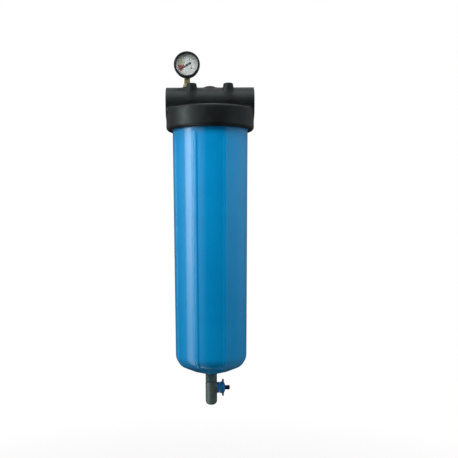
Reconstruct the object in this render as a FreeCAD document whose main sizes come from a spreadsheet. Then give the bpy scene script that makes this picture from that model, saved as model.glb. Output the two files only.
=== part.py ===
import FreeCAD, Part
import os
import re
import Sketcher
from FreeCAD import Placement, Rotation, Vector

# Bag filter housing: a black moulded head with a straight-through port tube, a long
# ribbed blue sump screwed into it from below, a support basket and filter bag inside,
# a pressure gauge, a vent button, and a drain leg with a wing cock at the foot.
# Millimetres. +Z is up, X runs along the port tube (inlet at -X), -Y is the front.
# The origin is the middle of the four bracket bosses, on their top face.

# Driving dimensions: alias, value, what it is
SIZES = [
    ("boss_rise", 6.0, "bracket bosses above the crest of the port tube"),
    ("boss_radius", 10.0, "bracket boss at its top"),
    ("boss_draft", 6.0, "draft of the bracket bosses, degrees"),
    ("boss_rounding", 3.0, "rounding round the top of a bracket boss"),
    ("bolt_span_x", 76.0, "bracket bolts, centre to centre along the port tube"),
    ("bolt_span_y", 36.0, "bracket bolts, centre to centre across the port tube"),
    ("insert_radius", 4.4, "outside of a threaded insert"),
    ("insert_bore", 3.0, "inside of a threaded insert, for a 6 mm bolt"),
    ("insert_depth", 14.0, "length of a threaded insert"),
    ("port_radius", 32.5, "outside of the port tube"),
    ("port_length", 184.8, "port tube, end to end"),
    ("port_edge", 1.5, "rounding of the port tube's outer end edges"),
    ("port_thread_radius", 23.15, "1-1/2 inch pipe thread at its mean radius"),
    ("port_thread_depth", 27.0, "depth of the pipe thread"),
    ("waterway_radius", 20.0, "bore behind the pipe thread"),
    ("inlet_reach", 20.0, "inlet bore runs this far past the centre"),
    ("outlet_start", 44.0, "outlet bore begins this far from the centre"),
    ("head_radius", 92.0, "outside of the head's skirt"),
    ("shoulder_drop", 15.0, "port axis down to the edge of the crown"),
    ("shoulder_rounding", 4.0, "rounding of the crown's edge"),
    ("crown_rise", 4.0, "slope of the crown towards its middle"),
    ("crown_thickness", 18.5, "edge of the crown down to the sealing land"),
    ("crown_skin", 8.5, "edge of the crown down to the water chambers"),
    ("skirt_height", 44.5, "edge of the crown down to the skirt's rim"),
    ("rim_rounding", 8.0, "rounding of the skirt's lower rim"),
    ("skirt_wall", 8.7, "wall of the skirt round the thread"),
    ("land_lap", 3.7, "sealing land inside the sump's recess"),
    ("spigot_radius", 44.0, "outside of the spigot that enters the bag ring"),
    ("spigot_wall", 8.0, "wall of the spigot"),
    ("spigot_length", 14.0, "spigot below the sealing land"),
    ("spigot_seal_section", 1.5, "section radius of the spigot seal"),
    ("spigot_seal_drop", 8.0, "sealing land down to the spigot seal"),
    ("throat_radius", 18.0, "opening from the inlet bore to the spigot"),
    ("outlet_hole_web", 2.25, "wall left inside and outside the outlet opening"),
    ("fit_gap", 0.1, "gap between still pieces that sit in one another"),
    ("run_gap", 0.3, "gap between pieces that slide or turn past one another"),
    ("seal_gap", 0.6, "sump rim below the sealing land"),
    ("sump_thread_height", 21.0, "height of the sump's thread"),
    ("thread_step", 4.3, "sump wall under the thread, inside the thread"),
    ("sump_taper", 4.8, "sump wall at the foot, inside the wall under the thread"),
    ("sump_length", 529.4, "rim to the lowest point of the domed end"),
    ("sump_wall", 6.5, "wall of the sump"),
    ("foot_rise", 20.6, "height of the domed end at the wall"),
    ("corner_radius", 30.0, "rounding from the wall into the domed end"),
    ("rim_width", 8.8, "rim of the sump, from its thread in to the recess for the basket"),
    ("ledge_depth", 7.0, "depth of that recess"),
    ("rim_seal_section", 2.0, "section radius of the sump seal"),
    ("rib_count", 8.0, "ribs round the sump"),
    ("rib_width", 5.0, "width of a rib"),
    ("rib_rise", 2.2, "height of a rib above the wall"),
    ("rib_start", 34.0, "rim down to the top of a rib"),
    ("rib_lead", 6.0, "ramp at the top of a rib"),
    ("rib_end_radius", 26.0, "where a rib fades out under the domed end"),
    ("drain_boss_radius", 13.2, "boss under the domed end"),
    ("drain_boss_height", 5.0, "height of that boss"),
    ("drain_hole_radius", 8.0, "threaded hole in that boss"),
    ("basket_taper", 4.0, "outside of the basket at its foot, inside that at its mouth"),
    ("basket_lift", 52.9, "basket's floor above the sump's"),
    ("basket_wall", 2.5, "wall of the basket"),
    ("flange_thickness", 4.0, "flange of the basket"),
    ("flange_holes", 12.0, "water holes through the flange"),
    ("flange_web", 4.45, "flange left inside and outside a water hole"),
    ("window_columns", 10.0, "windows round the basket"),
    ("window_width", 22.0, "width of a window"),
    ("window_height", 58.0, "height of a window"),
    ("window_pitch", 70.0, "spacing of the rows of windows"),
    ("window_start", 32.0, "sump rim down to the first window"),
    ("bag_wall", 1.6, "thickness of the felt"),
    ("bag_gap", 0.5, "bag to basket"),
    ("bag_corner", 24.0, "rounding of the bag's closed end"),
    ("ring_wall", 5.8, "wall of the bag ring round the spigot"),
    ("ring_flange_lap", 3.0, "flange of the bag ring past the basket's mouth"),
    ("ring_depth", 18.0, "sump rim down to the foot of the bag ring"),
    ("nipple_flats", 21.0, "hexagon of the drain nipple, across flats"),
    ("nipple_height", 16.5, "height of that hexagon"),
    ("nipple_tail", 9.0, "threaded tail of the nipple in the sump"),
    ("nipple_foot_radius", 7.5, "threaded tail of the nipple in the leg"),
    ("nipple_bore", 4.8, "water passage in the nipple"),
    ("leg_radius", 12.1, "outside of the drain leg"),
    ("leg_length", 48.5, "drain leg, top to bottom"),
    ("leg_rounding", 9.0, "rounding of the drain leg's foot"),
    ("leg_floor", 9.0, "thickness of the drain leg's foot"),
    ("leg_top_rounding", 1.5, "rounding of the drain leg's top edge"),
    ("cock_drop", 12.6, "top of the drain leg down to the cock's axis"),
    ("cock_seat", 12.4, "leg's axis out to the face that the cock seats on"),
    ("cock_radius", 11.2, "hub of the drain cock"),
    ("cock_hub", 5.2, "length of the hub"),
    ("cock_tail", 6.2, "threaded tail of the cock in the leg"),
    ("cock_tail_radius", 6.6, "that tail's radius"),
    ("cock_orifice", 2.5, "water hole that the stem closes"),
    ("cock_end_wall", 1.4, "wall round that hole"),
    ("stem_radius", 4.9, "drain stem inside the cock and the knob"),
    ("hose_end_radius", 4.6, "drain stem beyond the knob, where a hose goes on"),
    ("stem_bore", 2.6, "water passage in the drain stem"),
    ("stem_end", 38.7, "leg's axis out to the tip of the drain stem"),
    ("stem_port_radius", 1.5, "cross hole that lets water into the stem"),
    ("stem_seal_section", 0.8, "section radius of the stem seal"),
    ("stem_pad", 1.5, "rubber pad on the end of the stem"),
    ("knob_barrel", 7.8, "straight part of the wing knob"),
    ("knob_cone", 3.2, "tapered part of the wing knob"),
    ("knob_tip_radius", 6.2, "wing knob where the stem comes out"),
    ("knob_swell", 1.2, "half-way down the taper, above the tip's radius"),
    ("wing_reach", 17.6, "axis out to the tip of a wing"),
    ("wing_back", 2.0, "back of the knob to the root of a wing"),
    ("wing_tip_back", 3.2, "tip of a wing behind the knob's shoulder"),
    ("wing_tip_front", 0.5, "tip of a wing ahead of the knob's shoulder"),
    ("wing_root_front", 0.9, "root of a wing ahead of the knob's shoulder"),
    ("wing_width", 3.0, "thickness of a wing"),
    ("vent_radius", 11.6, "cap of the vent button"),
    ("vent_rise", 3.1, "cap above the port tube's crest"),
    ("vent_boss_radius", 14.5, "boss round the vent button"),
    ("bore_cover", 1.0, "wall kept between those bosses and the waterway"),
    ("vent_floor", 4.6, "crest down to the floor of the button's recess"),
    ("vent_skirt", 1.6, "crest down to the underside of the cap"),
    ("vent_stem_radius", 3.0, "stem of the vent button"),
    ("vent_washer_radius", 5.5, "valve washer under the port wall"),
    ("vent_washer_thickness", 2.0, "valve washer's thickness"),
    ("vent_clip_thickness", 1.0, "clip that holds the washer"),
    ("vent_clip_radius", 4.5, "that clip's radius"),
    ("vent_coil_radius", 6.5, "return spring, to the middle of the wire"),
    ("vent_wire", 0.35, "return spring wire, section radius"),
    ("vent_turns", 2.0, "coils of the return spring"),
    ("gauge_offset", 48.0, "gauge stem from the centre, towards the inlet"),
    ("gauge_pad_radius", 10.5, "boss under the gauge bushing"),
    ("gauge_pad_rise", 0.5, "that boss above the crest"),
    ("gauge_port_radius", 6.7, "1/4 inch port for the gauge bushing"),
    ("bushing_flats", 14.3, "hexagon of the gauge bushing"),
    ("bushing_height", 6.5, "height of that hexagon"),
    ("bushing_tail", 10.0, "threaded tail of the bushing"),
    ("gauge_thread_radius", 5.1, "thread of the gauge stem"),
    ("gauge_thread_engaged", 6.5, "gauge thread inside the bushing"),
    ("gauge_neck", 2.0, "gauge thread left showing"),
    ("gauge_bore", 1.6, "pressure hole in the gauge stem"),
    ("block_width", 12.4, "wrench block of the gauge stem, side to side"),
    ("block_depth", 11.0, "wrench block, front to back"),
    ("gauge_height", 40.7, "gauge centre above the bracket face"),
    ("case_radius", 25.6, "gauge case"),
    ("case_wall", 1.5, "wall of the gauge case"),
    ("case_back", 12.0, "stem axis to the back of the case"),
    ("case_front", 9.0, "stem axis to the front edge of the case"),
    ("case_rounding", 3.0, "rounding of the back of the case"),
    ("bezel_radius", 27.3, "bezel ring"),
    ("bezel_front", 15.0, "stem axis to the face of the bezel"),
    ("bezel_lip", 1.8, "lip in front of the window"),
    ("bezel_window", 22.8, "opening of the bezel"),
    ("bezel_skirt", 9.0, "length of the bezel ring"),
    ("lens_thickness", 1.6, "gauge window"),
    ("dial_front", 6.6, "stem axis to the face of the dial"),
    ("dial_thickness", 0.8, "dial plate"),
    ("dial_radius", 23.8, "dial plate's radius"),
    ("dial_screw_offset", 9.0, "dial screws either side of the centre"),
    ("dial_screw_drop", 6.5, "dial screws below the centre"),
    ("dial_screw_radius", 0.9, "shank of a dial screw"),
    ("dial_screw_head", 0.6, "thickness of a dial screw's head"),
    ("pointer_rest", 212.0, "pointer at rest, degrees from +X towards +Z"),
    ("pointer_sweep", 244.0, "pointer from rest to full scale, degrees"),
    ("pointer_length", 17.5, "centre to the pointer's tip"),
    ("pointer_tail", 8.5, "centre to the end of the pointer's tail"),
    ("pointer_thickness", 0.5, "pointer plate"),
    ("pointer_hub", 2.2, "hub of the pointer"),
    ("tail_half_width", 1.3, "half the width of the tail's end"),
    ("needle_root", 3.0, "centre back to where the needle begins"),
    ("needle_half_width", 0.7, "half the needle's width there"),
    ("tip_half_width", 0.3, "half the needle's width at its tip"),
    ("pointer_lift", 1.2, "dial face to the pointer"),
    ("spindle_radius", 0.8, "pointer spindle"),
    ("pinion_radius", 1.6, "pinion on the spindle"),
    ("plate_thickness", 1.0, "plates of the movement"),
    ("plate_gap", 3.0, "space between the plates"),
    ("plate_half_width", 11.0, "half the width of a movement plate"),
    ("plate_rise", 4.0, "movement plate above the centre"),
    ("plate_corner", 2.0, "rounding of the plates' upper corners"),
    ("pillar_inset", 2.5, "pillars in from the plates' sides and top"),
    ("pillar_radius", 1.2, "pillar between the plates"),
    ("sector_drop", 7.8, "sector pivot below the centre"),
    ("sector_thickness", 1.2, "toothed sector"),
    ("sector_angle", 84.0, "toothed sector's fan, degrees"),
    ("sector_foot", 2.2, "toothed sector round its pin"),
    ("sector_crown", 5.3, "rounding of the toothed edge"),
    ("tube_loop_radius", 16.0, "pressure tube's loop"),
    ("tube_section", 2.0, "pressure tube's section radius"),
    ("tube_setback", 3.2, "pressure tube behind the stem axis"),
    ("tube_sweep", 250.0, "arc of the pressure tube, degrees"),
    ("socket_width", 5.0, "post on the wrench block that holds the tube's end"),
    ("socket_height", 6.8, "height of that post"),
    ("socket_wall", 0.2, "that post past the tube, front and back"),
]

# Levels and places that follow from the sizes, each as a formula
PLACES = {
    "skirt_bore": "head_radius - skirt_wall",
    "sump_thread_radius": "skirt_bore - run_gap",
    "sump_radius": "sump_thread_radius - thread_step",
    "sump_foot_radius": "sump_radius - sump_taper",
    "ledge_radius": "sump_thread_radius - rim_width",
    "rim_seal_radius": "sump_thread_radius - rim_width / 2",
    "land_radius": "ledge_radius - land_lap",
    "outlet_hole_offset": "(spigot_radius + land_radius) / 2",
    "outlet_hole_radius": "(land_radius - spigot_radius) / 2 - outlet_hole_web",
    "basket_length": "sump_length - sump_wall - basket_lift",
    "ring_bore": "spigot_radius + run_gap",
    "ring_skirt_radius": "ring_bore + ring_wall",
    "bag_top_radius": "ring_skirt_radius + run_gap + bag_wall",
    "basket_bore": "bag_top_radius + bag_gap",
    "basket_radius": "basket_bore + basket_wall",
    "basket_foot_radius": "basket_radius - basket_taper",
    "ring_flange_radius": "basket_radius + ring_flange_lap",
    "flange_hole_offset": "(basket_radius + flange_radius) / 2",
    "flange_hole_radius": "(flange_radius - basket_radius) / 2 - flange_web",
    "crest": "0 - boss_rise",
    "port_axis": "crest - port_radius",
    "shoulder": "port_axis - shoulder_drop",
    "skirt_rim": "shoulder - skirt_height",
    "land": "shoulder - crown_thickness",
    "chamber": "shoulder - crown_skin",
    "sump_rim": "land - seal_gap",
    "spigot_bore": "spigot_radius - spigot_wall",
    "groove_half": "spigot_seal_section + run_gap",
    "groove_depth": "2 * spigot_seal_section - fit_gap",
    "rim_groove_half": "rim_seal_section + fit_gap",
    "rim_groove_depth": "2 * rim_seal_section - run_gap",
    "dome_at_rib_end": "foot_rise * (rib_end_radius - drain_boss_radius)"
                       " / (sump_foot_radius - drain_boss_radius)",
    "flange_radius": "ledge_radius - run_gap",
    "basket_foot_bore": "basket_foot_radius - basket_wall",
    "flange_top": "0 - ledge_depth + flange_thickness + fit_gap",
    "bag_foot_radius": "basket_foot_bore - bag_gap",
    "drain_face": "sump_rim - sump_length - drain_boss_height",
    "leg_top": "drain_face - nipple_height",
    "nipple_foot": "cock_drop - cock_tail_radius - run_gap",
    "cock_axis": "leg_top - cock_drop",
    "stem_start": "cock_seat - cock_tail + cock_end_wall + fit_gap",
    "knob_start": "cock_seat + cock_hub + run_gap",
    "knob_shoulder": "knob_start + knob_barrel",
    "knob_end": "knob_shoulder + knob_cone",
    "gauge_pad": "crest + gauge_pad_rise",
    "bushing_top": "gauge_pad + bushing_height",
    "block_foot": "bushing_top + gauge_neck",
    "case_bore": "case_radius - case_wall",
    "block_top": "gauge_height - tube_loop_radius - 2 * tube_section",
    "dial_back": "0 - dial_front + dial_thickness",
    "plate_front": "dial_back + fit_gap",
    "plate_inner": "plate_front + plate_thickness",
    "plate_outer": "plate_inner + plate_gap",
    "plate_back": "plate_outer + plate_thickness",
    "pointer_back": "0 - dial_front - pointer_lift",
    "sector_reach": "sector_drop - pinion_radius - run_gap",
}

document = FreeCAD.newDocument("BagFilterHousing")
parts = []


def formula(text):
    """Spell a formula out in sheet cells: a place becomes its own formula, a size its cell."""
    sizes = {name for name, _, _ in SIZES}

    def spell(match):
        word = match.group(0)
        if word in PLACES:
            return "(" + formula(PLACES[word]) + ")"
        return "Sizes." + word if word in sizes else word

    return re.sub(r"[a-z_]+", spell, text)


def size(text):
    """The number that a formula gives."""
    return float(document.Sizes.evalExpression(formula(text)))


def make_sheet():
    """Driving dimensions, one row each, with the alias that every formula uses."""
    sheet = document.addObject("Spreadsheet::Sheet", "Sizes")
    for row, (name, value, note) in enumerate(SIZES, 1):
        sheet.set("A%d" % row, name)
        sheet.set("B%d" % row, repr(value))
        sheet.set("C%d" % row, note)
        sheet.setAlias("B%d" % row, name)
    document.recompute()


def new_body(name, **place):
    """A body with its own label, placed by a formula for each axis that is given."""
    body = document.addObject("PartDesign::Body", name)
    body.Label = name
    body.AllowCompound = True
    for axis, text in place.items():
        body.setExpression("Placement.Base." + axis, formula(text))
    parts.append(body)
    return body


def new_sketch(body, plane, level=None, up=None, turned=None):
    """A sketch on one of the body's own planes, moved along its normal by level or upwards
    by up, or turned about its upright axis."""
    base = next(f for f in body.Origin.OriginFeatures if f.Role == plane)
    sketch = body.newObject("Sketcher::SketchObject", body.Name + "_sketch")
    sketch.AttachmentSupport = [(base, "")]
    sketch.MapMode = "FlatFace"
    if level:
        sketch.setExpression("AttachmentOffset.Base.z", formula(level))
    if up:
        sketch.setExpression("AttachmentOffset.Base.y", formula(up))
    if turned:
        sketch.AttachmentOffset = Placement(Vector(), Rotation(Vector(0, 1, 0), 1))
        sketch.setExpression("AttachmentOffset.Rotation.Angle", formula(turned))
    return sketch


def hold(sketch, rule, text):
    """Add a sketch dimension under a name of its own, and tie it to a formula."""
    number = sketch.addConstraint(rule)
    name = "size%d" % sketch.ConstraintCount
    while name in [c.Name for c in sketch.Constraints]:
        name += "x"
    sketch.renameConstraint(number, name)
    sketch.setExpression("Constraints." + name, formula(text))


def pin_point(sketch, piece, point, across, up):
    """Hold a point of the sketch at two formulas, measured from the sketch's origin."""
    for kind, axis, text in (("DistanceX", -2, across), ("DistanceY", -1, up)):
        if text == "0":
            sketch.addConstraint(Sketcher.Constraint("PointOnObject", piece, point, axis))
        else:
            hold(sketch, Sketcher.Constraint(kind, -1, 1, piece, point, size(text)), text)


def outline(sketch, corners):
    """A closed outline through corners (across, up) or, rounded, (across, up, radius)."""
    first = sketch.GeometryCount
    count = len(corners)
    spots = [Vector(size(c[0]), size(c[1]), 0) for c in corners]
    for i in range(count):
        sketch.addGeometry(Part.LineSegment(spots[i], spots[(i + 1) % count]), False)
    for i in range(count):
        after = first + (i + 1) % count
        sketch.addConstraint(Sketcher.Constraint("Coincident", first + i, 2, after, 1))
        pin_point(sketch, first + i, 1, corners[i][0], corners[i][1])
    for i in range(count):
        if len(corners[i]) == 3:
            arc = sketch.GeometryCount
            radius = size(corners[i][2])
            sketch.fillet(first + i, 1, radius, True, True)
            hold(sketch, Sketcher.Constraint("Radius", arc, radius), corners[i][2])


def rectangle(sketch, left, foot, right, top):
    """A rectangle between four formulas."""
    outline(sketch, [(left, foot), (right, foot), (right, top), (left, top)])


def circle(sketch, across, up, radius):
    """A circle with its centre and radius held by formulas."""
    centre = Vector(size(across), size(up), 0)
    index = sketch.addGeometry(Part.Circle(centre, Vector(0, 0, 1), size(radius)), False)
    hold(sketch, Sketcher.Constraint("Radius", index, size(radius)), radius)
    pin_point(sketch, index, 3, across, up)


def hexagon(sketch, flats):
    """A regular hexagon about the origin, a corner on the X axis, sized across its flats."""
    reach = "(%s) / sqrt(3)" % flats
    half = "(%s) / 2" % flats
    outline(sketch, [(reach, "0"), (reach + " / 2", half), ("0 - %s / 2" % reach, half),
                     ("0 - " + reach, "0"), ("0 - %s / 2" % reach, "0 - " + half),
                     (reach + " / 2", "0 - " + half)])


def feature(body, kind, sketch):
    """Add a feature that works on a sketch."""
    result = body.newObject("PartDesign::" + kind, body.Name + "_" + kind.lower())
    result.Profile = sketch
    sketch.Visibility = False
    return result


def settle(body, before, removes):
    """Recompute, and stop if the newest feature did not change the solid as it should."""
    document.recompute()
    after = body.Shape.Volume
    if (after < before) != removes or abs(after - before) < 0.01:
        raise ValueError("%s: %s changed nothing" % (body.Label, body.Tip.Label))


def volume(body):
    """Volume so far, nothing on an empty body."""
    return 0.0 if body.Shape.isNull() else body.Shape.Volume


def turn(body, sketch, axis="V_Axis"):
    """Turn a closed sketch once round its upright or level axis."""
    before = volume(body)
    turned = feature(body, "Revolution", sketch)
    turned.ReferenceAxis = (sketch, [axis])
    turned.Angle = 360
    settle(body, before, False)


def revolve(body, plane, corners, axis="V_Axis", up=None):
    """Turn a closed outline once round the sketch's upright or level axis."""
    sketch = new_sketch(body, plane, up=up)
    outline(sketch, corners)
    turn(body, sketch, axis)


def extrude(body, sketch, length, removes=False, reverse=False, both=False, draft=None):
    """Push a sketch out along its normal, or take that shape away."""
    before = volume(body)
    kind = "Pocket" if removes else "Pad"
    pushed = feature(body, kind, sketch)
    if both:
        pushed.SideType = "Symmetric"
    pushed.Reversed = reverse
    pushed.setExpression("Length", formula(length))
    if draft:
        pushed.setExpression("TaperAngle", formula(draft))
    settle(body, before, removes)
    return pushed


def ring_pattern(body, original, count):
    """Repeat a feature evenly round the body's Z axis."""
    before = volume(body)
    removes = original.TypeId == "PartDesign::Pocket"
    pattern = body.newObject("PartDesign::PolarPattern", body.Name + "_ring")
    pattern.Originals = [original]
    axis = next(f for f in body.Origin.OriginFeatures if f.Role == "Z_Axis")
    pattern.Axis = (axis, [""])
    pattern.Angle = 360
    pattern.setExpression("Occurrences", formula(count))
    body.Tip = pattern
    settle(body, before, removes)
    return pattern


def round_edges(body, radius, wanted):
    """Round the edges of the newest shape that wanted(edge) accepts."""
    base = body.Tip
    edges = ["Edge%d" % i for i, e in enumerate(base.Shape.Edges, 1) if wanted(e)]
    if not edges:
        raise ValueError(body.Label + ": no edge to round")
    fillet = body.newObject("PartDesign::Fillet", body.Name + "_fillet")
    fillet.Base = (base, edges)
    fillet.setExpression("Radius", formula(radius))
    document.recompute()
    if not fillet.isValid():
        raise ValueError(body.Label + ": the edges could not be rounded")


def is_ring(edge, radius, level, axis="z"):
    """Whether an edge is a circle of this radius, centred at this level along the axis."""
    curve = edge.Curve
    if not isinstance(curve, Part.Circle):
        return False
    return abs(curve.Radius - radius) < 0.01 and abs(getattr(curve.Center, axis) - level) < 0.01


def bolt_places():
    """The four bracket bolt centres as formulas."""
    sides = ("bolt_span_%s / 2", "0 - bolt_span_%s / 2")
    return [(across % "x", up % "y") for across in sides for up in sides]


def make_head():
    """Moulded head: skirt and crown, port tube, bosses, water passages."""
    body = new_body("head")
    seal = "land - spigot_seal_drop"
    revolve(body, "XZ_Plane", [
        ("0", "shoulder + crown_rise"),
        ("head_radius", "shoulder", "shoulder_rounding"),
        ("head_radius", "skirt_rim", "rim_rounding"),
        ("skirt_bore", "skirt_rim"),
        ("skirt_bore", "land"),
        ("land_radius", "land"),
        ("land_radius", "chamber"),
        ("spigot_radius", "chamber"),
        ("spigot_radius", seal + " + groove_half"),
        ("spigot_radius - groove_depth", seal + " + groove_half"),
        ("spigot_radius - groove_depth", seal + " - groove_half"),
        ("spigot_radius", seal + " - groove_half"),
        ("spigot_radius", "land - spigot_length"),
        ("spigot_bore", "land - spigot_length"),
        ("spigot_bore", "chamber"),
        ("0", "chamber")])
    revolve(body, "XZ_Plane", [
        ("0 - port_length / 2", "0"),
        ("0 - port_length / 2", "port_radius", "port_edge"),
        ("port_length / 2", "port_radius", "port_edge"),
        ("port_length / 2", "0")], axis="H_Axis", up="port_axis")
    bosses = new_sketch(body, "XY_Plane")
    for across, up in bolt_places():
        circle(bosses, across, up, "boss_radius")
    extrude(body, bosses, "boss_rise + port_radius", reverse=True, draft="boss_draft")
    round_edges(body, "boss_rounding", lambda e: is_ring(e, size("boss_radius"), 0))
    pad = new_sketch(body, "XY_Plane", level="gauge_pad")
    circle(pad, "0 - gauge_offset", "0", "gauge_pad_radius")
    extrude(body, pad, "gauge_pad - port_axis - waterway_radius - bore_cover", reverse=True)
    collar = new_sketch(body, "XY_Plane", level="crest")
    circle(collar, "0", "0", "vent_boss_radius")
    extrude(body, collar, "port_radius - waterway_radius - bore_cover", reverse=True)
    cut_head_holes(body)
    cut_head_waterways(body)


def cut_head_holes(body):
    """Holes from above: inserts, gauge port, vent button and its stem."""
    inserts = new_sketch(body, "XY_Plane")
    for across, up in bolt_places():
        circle(inserts, across, up, "insert_radius + fit_gap")
    extrude(body, inserts, "insert_depth + fit_gap", removes=True)
    gauge = new_sketch(body, "XY_Plane", level="gauge_pad")
    circle(gauge, "0 - gauge_offset", "0", "gauge_port_radius")
    extrude(body, gauge, "gauge_pad - port_axis", removes=True)
    recess = new_sketch(body, "XY_Plane", level="crest")
    circle(recess, "0", "0", "vent_radius + run_gap")
    extrude(body, recess, "vent_floor", removes=True)
    stem = new_sketch(body, "XY_Plane", level="crest")
    circle(stem, "0", "0", "vent_stem_radius + fit_gap")
    extrude(body, stem, "port_radius", removes=True)
    seat = new_sketch(body, "XY_Plane", level="port_axis")
    circle(seat, "0", "0", "vent_washer_radius + run_gap")
    extrude(body, seat, "waterway_radius", removes=True, reverse=True)


def cut_head_waterways(body):
    """Pipe threads and bores from both ends, and the two openings down to the chambers."""
    ends = (("0 - port_length / 2", False, "port_length / 2 + inlet_reach"),
            ("port_length / 2", True, "port_length / 2 - outlet_start"))
    for end, reverse, depth in ends:
        for radius, length in (("port_thread_radius", "port_thread_depth"), ("waterway_radius", depth)):
            mouth = new_sketch(body, "YZ_Plane", level=end)
            circle(mouth, "0", "port_axis", radius)
            extrude(body, mouth, length, removes=True, reverse=not reverse)
    for across, radius in (("0", "throat_radius"), ("outlet_hole_offset", "outlet_hole_radius")):
        opening = new_sketch(body, "XY_Plane", level="chamber")
        circle(opening, across, "0", radius)
        extrude(body, opening, "port_axis - chamber", removes=True, reverse=True)


def make_inserts():
    """Four threaded brass inserts, flush with the bosses."""
    body = new_body("mounting_inserts")
    rings = new_sketch(body, "XY_Plane")
    for across, up in bolt_places():
        circle(rings, across, up, "insert_radius")
        circle(rings, across, up, "insert_bore")
    extrude(body, rings, "insert_depth", reverse=True)


def make_seal(name, centre, section, **place):
    """A round seal: a circle of the section's radius carried round the Z axis."""
    body = new_body(name, **place)
    sketch = new_sketch(body, "XZ_Plane")
    circle(sketch, centre, "0", section)
    turn(body, sketch)


def make_sump():
    """Ribbed, drafted sump with a domed end and a drain boss."""
    body = new_body("sump", z="sump_rim")
    revolve(body, "XZ_Plane", [
        ("ledge_radius", "0"),
        ("rim_seal_radius - rim_groove_half", "0"),
        ("rim_seal_radius - rim_groove_half", "0 - rim_groove_depth"),
        ("rim_seal_radius + rim_groove_half", "0 - rim_groove_depth"),
        ("rim_seal_radius + rim_groove_half", "0"),
        ("sump_thread_radius", "0"),
        ("sump_thread_radius", "0 - sump_thread_height"),
        ("sump_radius", "0 - sump_thread_height - sump_thread_radius + sump_radius"),
        ("sump_foot_radius", "foot_rise - sump_length", "corner_radius"),
        ("drain_boss_radius", "0 - sump_length"),
        ("drain_boss_radius", "0 - sump_length - drain_boss_height"),
        ("drain_hole_radius", "0 - sump_length - drain_boss_height"),
        ("drain_hole_radius", "sump_wall - sump_length"),
        ("sump_foot_radius - sump_wall", "foot_rise + sump_wall - sump_length", "corner_radius - sump_wall"),
        ("sump_radius - sump_wall", "0 - ledge_depth"),
        ("ledge_radius", "0 - ledge_depth")])
    rib = new_sketch(body, "XZ_Plane", turned="180 / rib_count")
    outline(rib, [
        ("sump_radius - sump_wall / 2", "0 - rib_start"),
        ("sump_radius", "0 - rib_start"),
        ("sump_radius + rib_rise", "0 - rib_start - rib_lead"),
        ("sump_foot_radius + rib_rise", "foot_rise - rib_rise - sump_length", "corner_radius + rib_rise"),
        ("rib_end_radius", "dome_at_rib_end - sump_length"),
        ("rib_end_radius", "dome_at_rib_end + sump_wall / 2 - sump_length"),
        ("sump_foot_radius - sump_wall / 2", "foot_rise + sump_wall / 2 - sump_length",
         "corner_radius - sump_wall / 2")])
    blade = extrude(body, rib, "rib_width", both=True)
    ring_pattern(body, blade, "rib_count")


def make_basket():
    """Moulded support basket: a flange with water holes and a tapered cage of windows."""
    body = new_body("basket", z="sump_rim")
    revolve(body, "XZ_Plane", [
        ("basket_bore", "flange_top"),
        ("flange_radius", "flange_top"),
        ("flange_radius", "flange_top - flange_thickness"),
        ("basket_radius", "flange_top - flange_thickness"),
        ("basket_foot_radius", "0 - basket_length"),
        ("0", "0 - basket_length"),
        ("0", "basket_wall - basket_length"),
        ("basket_foot_bore", "basket_wall - basket_length")])
    hole = new_sketch(body, "XY_Plane", level="flange_top")
    circle(hole, "flange_hole_offset", "0", "flange_hole_radius")
    ring_pattern(body, extrude(body, hole, "flange_thickness", removes=True), "flange_holes")
    rows = int((size("basket_length") - size("window_start")) // size("window_pitch"))
    column = new_sketch(body, "YZ_Plane")
    for row in range(rows):
        top = "0 - window_start - %d * window_pitch" % row
        rectangle(column, "0 - window_width / 2", top + " - window_height", "window_width / 2", top)
    window = extrude(body, column, "flange_radius", removes=True, reverse=True)
    ring_pattern(body, window, "window_columns")


def make_bag():
    """Filter bag: a felt sleeve with a rounded closed end, open at the top."""
    body = new_body("filter_bag", z="sump_rim")
    foot = "bag_gap + basket_wall - basket_length"
    revolve(body, "XZ_Plane", [
        ("bag_top_radius - bag_wall", "flange_top - fit_gap"),
        ("bag_top_radius", "flange_top - fit_gap"),
        ("bag_foot_radius", foot, "bag_corner"),
        ("0", foot),
        ("0", foot + " + bag_wall"),
        ("bag_foot_radius - bag_wall", foot + " + bag_wall", "bag_corner - bag_wall")])


def make_bag_ring():
    """Moulded ring that stiffens the bag's mouth and seals on the spigot."""
    body = new_body("bag_ring", z="sump_rim")
    revolve(body, "XZ_Plane", [
        ("ring_bore", "0 - run_gap"),
        ("ring_flange_radius", "0 - run_gap"),
        ("ring_flange_radius", "flange_top"),
        ("ring_skirt_radius", "flange_top"),
        ("ring_skirt_radius", "0 - ring_depth"),
        ("ring_bore", "0 - ring_depth")])


def make_nipple():
    """Drain nipple: a hexagon between two threaded tails."""
    body = new_body("drain_nipple", z="drain_face")
    hexes = new_sketch(body, "XY_Plane")
    hexagon(hexes, "nipple_flats")
    extrude(body, hexes, "nipple_height", reverse=True)
    tail = new_sketch(body, "XY_Plane")
    circle(tail, "0", "0", "drain_hole_radius - fit_gap")
    extrude(body, tail, "nipple_tail")
    foot = new_sketch(body, "XY_Plane")
    circle(foot, "0", "0", "nipple_foot_radius - fit_gap")
    extrude(body, foot, "nipple_height + nipple_foot", reverse=True)
    bore = new_sketch(body, "XY_Plane", level="nipple_tail")
    circle(bore, "0", "0", "nipple_bore")
    extrude(body, bore, "nipple_tail + nipple_height + nipple_foot", removes=True)


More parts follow.
